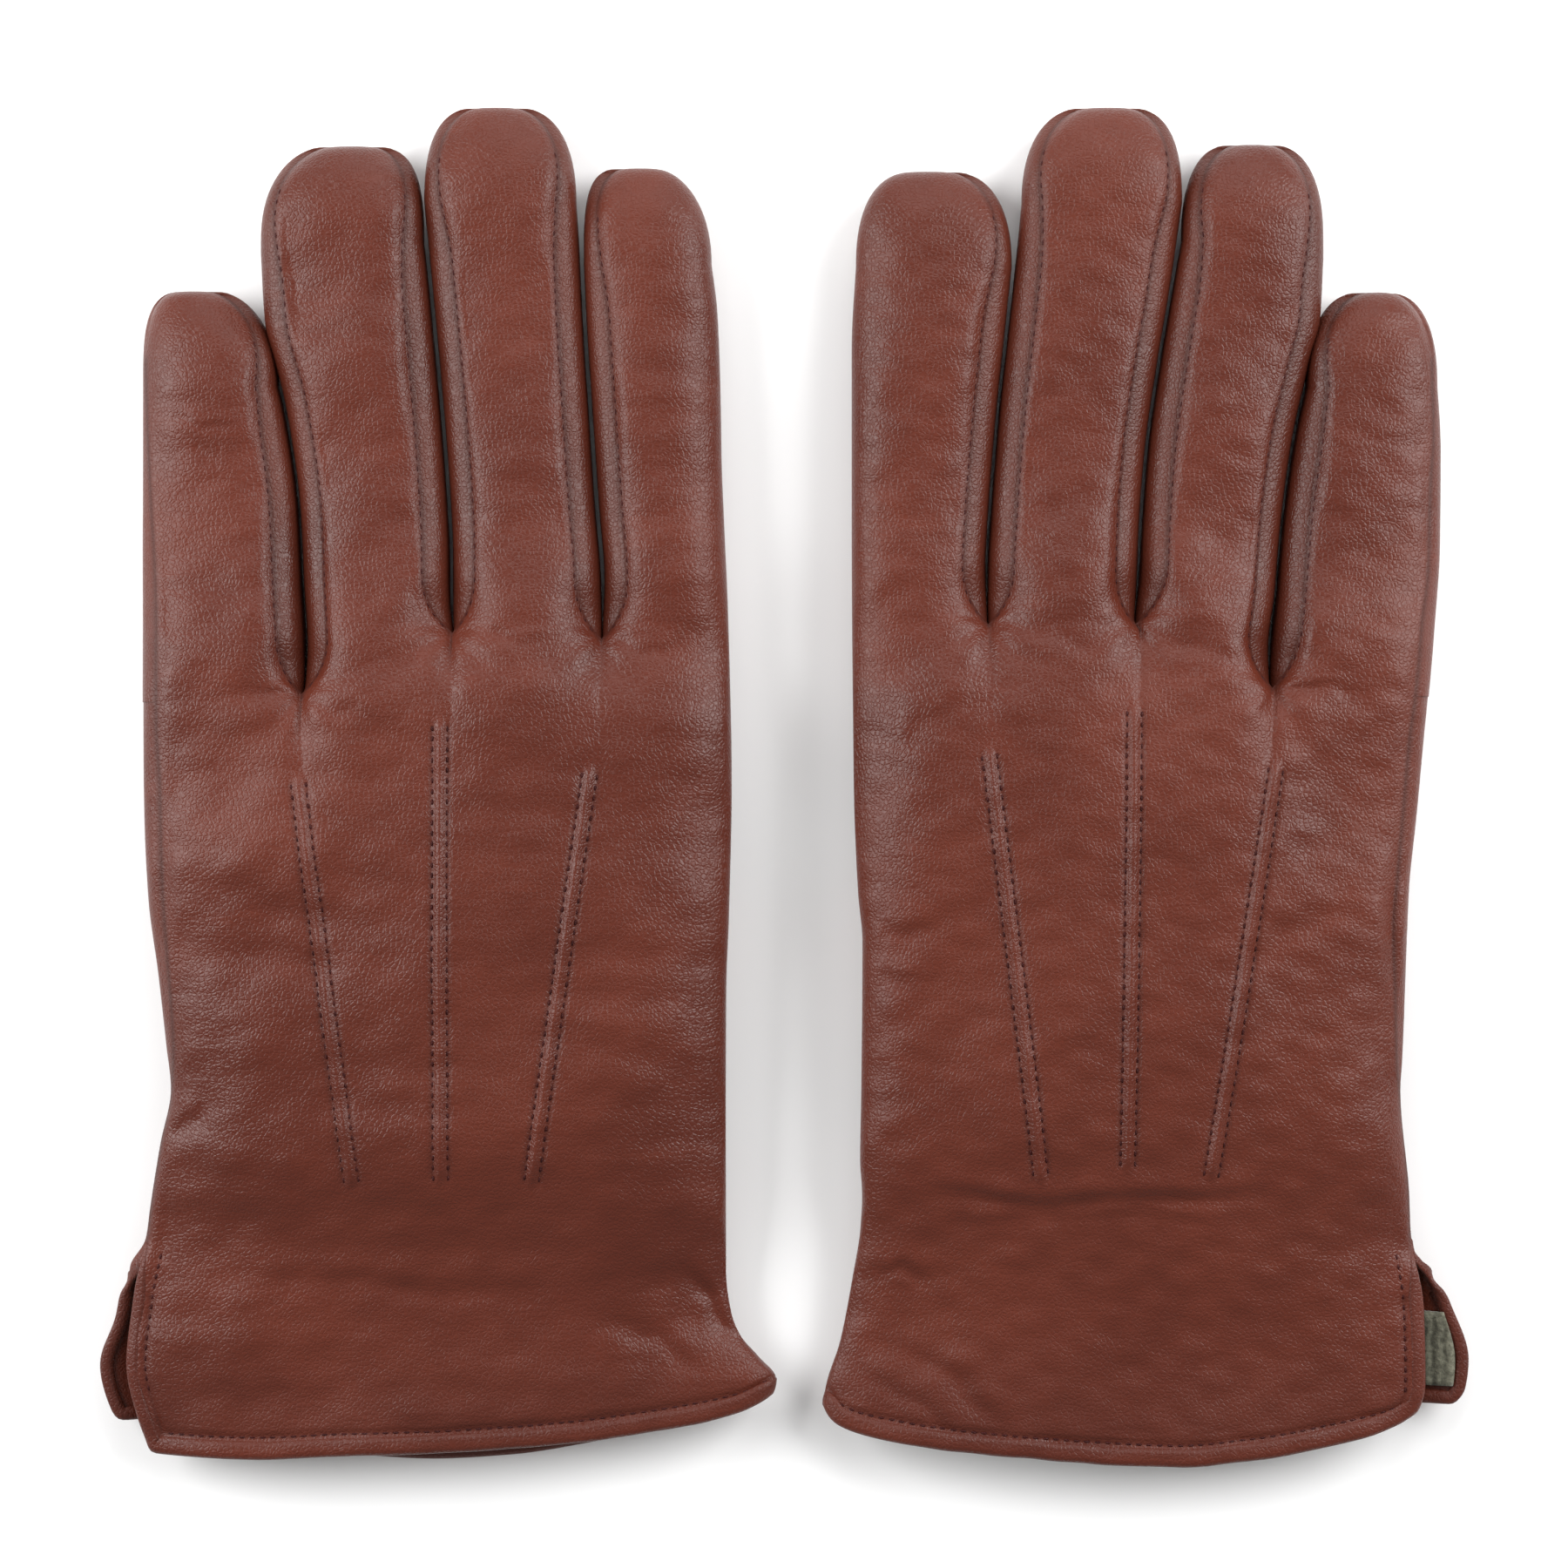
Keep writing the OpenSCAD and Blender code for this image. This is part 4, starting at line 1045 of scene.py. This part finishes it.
def build_hem(g, skin, hand_back, hand_palm, side_grid):
    """The turned edge: one rounded band down the vent, round the hem and up the flap."""
    side = g["side"]
    top = np.argmin(np.abs(hand_back[:, 0, 1] - VENT_TOP))
    flap = side_grid[:, 0]
    top_flap = np.argmin(np.abs(flap[:, 1] - VENT_TOP))
    path = np.concatenate([hand_back[top:0:-1, 0], hand_back[0, ::2], hand_palm[0, ::-1][1:],
                           side_grid[0, ::-1][1:-1], flap[:top_flap]])
    tree = BVHTree.FromPolygons(skin.v.tolist(), skin.f.tolist())
    path = np.array([tuple(tree.find_nearest(Vector(p))[0]) for p in path])
    steps = np.linalg.norm(np.roll(path, -1, 0) - path, axis=1)
    path = path[steps > 0.02]
    total = np.r_[0, np.cumsum(np.linalg.norm(np.roll(path, -1, 0) - path, axis=1))]
    closed = np.vstack([path, path[:1]])
    at = np.linspace(0, total[-1], 421)[:-1]
    path = np.stack([np.interp(at, total, closed[:, i]) for i in range(3)], 1)
    normal = smooth_loop(nearest_normals(skin, path), 4)
    path = smooth_loop(path, 1)
    tangent = smooth_loop(np.roll(path, -1, 0) - np.roll(path, 1, 0), 3)
    tangent /= np.linalg.norm(tangent, axis=1, keepdims=True)
    out = np.cross(tangent, normal)
    out /= np.maximum(np.linalg.norm(out, axis=1, keepdims=True), 1e-9)
    normal = np.cross(out, tangent)
    vent_top = np.array([g["seam_little"](VENT_TOP), VENT_TOP])
    away = np.linalg.norm(path[:, :2] - vent_top, axis=1)
    grow = lerp(0.22, 1, soft((away - 1) / 11))
    grow = grow * np.where(path[:, 0] < 0, lerp(0.72, 1, soft((path[:, 0] + 56) / 6)), 1)
    section = ((-2.6, 0.02), (-1.7, 0.16), (-0.7, 0.22), (0.15, 0.10), (0.62, -0.28), (0.78, -0.85),
               (0.62, -1.45),
               (0.1, -1.82), (-0.9, -1.95), (-2.6, -1.8), (-2.75, -0.9))
    rings = np.stack([path + (out * a + normal * b) * grow[:, None] for a, b in section], 1)
    rings[..., 2] = np.maximum(rings[..., 2], 0.12)
    ni, nj = rings.shape[:2]
    i, j = np.meshgrid(np.arange(ni), np.arange(nj), indexing="ij")
    a, b = (i * nj + j).ravel(), (i * nj + (j + 1) % nj).ravel()
    c, d = (((i + 1) % ni) * nj + (j + 1) % nj).ravel(), (((i + 1) % ni) * nj + j).ravel()
    faces = np.stack([a, d, c, b], 1)
    # painted shade round the band: lightest on its top, darker round its edge, underneath and where it meets
    # the panel
    painted_shade = np.tile(np.array([0.45, 0.35, 0.15, 0.1, 0.2, 0.35, 0.4, 0.4, 0.4, 0.4, 0.4]), ni)
    v = rings.reshape(-1, 3)
    if np.sum(normals_of(v, faces).reshape(ni, nj, 3)[:, 2] * normal) < 0:
        faces = faces[:, ::-1]
    obj = mesh_object(g, side + "_hem_band", v, faces, hide, painted_shade=painted_shade)
    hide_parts(side + "_back_hem", side + "_palm_hem")
    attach(obj, side + "_hand")


def build_stitches(g, skin, rows, backs, hand_back):
    """Three stitched points, the hem and vent rows, and the fine seams of the fingers."""
    side = g["side"]
    tree = BVHTree.FromPolygons(skin.v.tolist(), skin.f.tolist())

    def drop(xy, d):
        """Lays points of the plan on the leather, with the slope and the normal there."""
        p, n, dd = [], [], []
        for (x, y), (dx, dy) in zip(xy, d):
            hit, normal, _, _ = tree.ray_cast(Vector((x, y, 60)), Vector((0, 0, -1)))
            if hit is None:
                continue
            ahead = tree.ray_cast(Vector((x + dx * 0.5, y + dy * 0.5, 60)), Vector((0, 0, -1)))[0]
            behind = tree.ray_cast(Vector((x - dx * 0.5, y - dy * 0.5, 60)), Vector((0, 0, -1)))[0]
            slope = (ahead - behind) if ahead is not None and behind is not None else Vector((dx, dy, 0))
            if abs(slope.z) > 2 * math.hypot(slope.x, slope.y):
                slope = Vector((dx, dy, 0))
            up = np.array(normal) * (1 if normal.z > 0 else -1)
            p.append(tuple(hit))
            n.append(up)
            dd.append(tuple(slope))
        return p, n, dd

    def sew(name, lines, pitch, length, radius, nodes=(), finger=None):
        """Stitches along each line of the plan, as one piece."""
        p, n, d = [], [], []
        for line in lines:
            xy, direction = along_path(line, pitch)
            a, b, c = drop(xy[:, :2], direction[:, :2])
            p += a
            n += b
            d += c
        v, f = capsules(p, d, n, radius, length)
        obj = mesh_object(g, f"{side}_{name}", v, f, thread)
        if nodes:
            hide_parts(*nodes)
        if finger:
            bend(g, obj, finger)
        else:
            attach(obj, side + "_hand")

    ribs = []
    for a, b in g["points"]:
        a, b = np.array(a), np.array(b)
        e = np.array([b[1] - a[1], a[0] - b[0]]) / np.linalg.norm(b - a)
        ribs += [[a + e * RIB_ROW, b + e * RIB_ROW], [a - e * RIB_ROW, b - e * RIB_ROW]]
    sew("point_stitches", ribs, 1.9, 1.15, 0.215, (f"{side}_points", f"{side}_stitching"))
    left = g["seam_little"]
    q = np.linspace(0.035, 0.985, 90)
    y = g["hem_back"](q) + HEM_ROW
    x = left(y) + q * (g["outline_index"](y) - left(y))
    sew("hem_stitches", [np.stack([x, y], 1)], 1.9, 1.2, 0.22)
    y = np.linspace(-86, -113, 30)
    sew("vent_stitches", [np.stack([left(y) + HEM_ROW, y], 1)], 1.9, 1.2, 0.22)
    for n in FINGERS:
        r = rows[n]
        use = (r["t"] < 0.55) & (r["y_lo"] > r["y_lo"][0] + 0.8)
        lines = []
        if r["wall_lo"]:
            lines.append(backs[n][use, 0, :2] + np.array([0.45, 0]))
        if r["wall_hi"]:
            lines.append(backs[n][use, -1, :2] - np.array([0.45, 0]))
        sew(n + "_stitches", lines, 2.1, 1.2, 0.15, finger=n)


for glove in (LEFT, RIGHT):
    build_glove(glove)

# ---------------------------------------------------------------- floor, light and camera
floor_mesh = bpy.data.meshes.new("floor")
floor_mesh.from_pydata([(-4, -4, 0), (4, -4, 0), (4, 4, 0), (-4, 4, 0)], [], [(0, 1, 2, 3)])
floor = bpy.data.objects.new("floor", floor_mesh)
bpy.context.scene.collection.objects.link(floor)
k = Nodes("floor_white")
floor_mesh.materials.append(k.finish(k.new("BsdfDiffuse", Color=(0.93, 0.93, 0.93, 1))))
floor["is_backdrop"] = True

world = bpy.data.worlds.new("studio")
world.use_nodes = True
world.node_tree.nodes["Background"].inputs["Color"].default_value = (1, 0.995, 0.99, 1)
world.node_tree.nodes["Background"].inputs["Strength"].default_value = 0.38
bpy.context.scene.world = world


def area(name, place_at, aim, size, power):
    data = bpy.data.lights.new(name, "AREA")
    data.shape, data.size, data.energy = "SQUARE", size, power
    obj = bpy.data.objects.new(name, data)
    obj.location = place_at
    obj.rotation_euler = (Vector(aim) - Vector(place_at)).to_track_quat("-Z", "Y").to_euler()
    bpy.context.scene.collection.objects.link(obj)


area("key", (0.62, 0.30, 0.48), (0.03, 0, 0), 0.55, 8.3)
area("left", (-0.62, 0.18, 0.42), (-0.03, 0, 0), 0.52, 6.8)
area("top", (0.0, 0.80, 0.46), (0, 0, 0), 0.60, 3.0)

CAMERA_HEIGHT = 0.692  # where the pair fills the frame as seen from straight above
camera_data = bpy.data.cameras.new("camera")
camera_data.lens, camera_data.sensor_width = 85, 36
camera = bpy.data.objects.new("camera", camera_data)
camera.location = (0, 0, CAMERA_HEIGHT)
bpy.context.scene.collection.objects.link(camera)
bpy.context.scene.camera = camera
bpy.context.scene.view_settings.view_transform = "Standard"
bpy.context.scene.view_settings.look = "None"

size = dict(cad=[list(c) for c in cad_box], visual=[list(c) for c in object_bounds()])
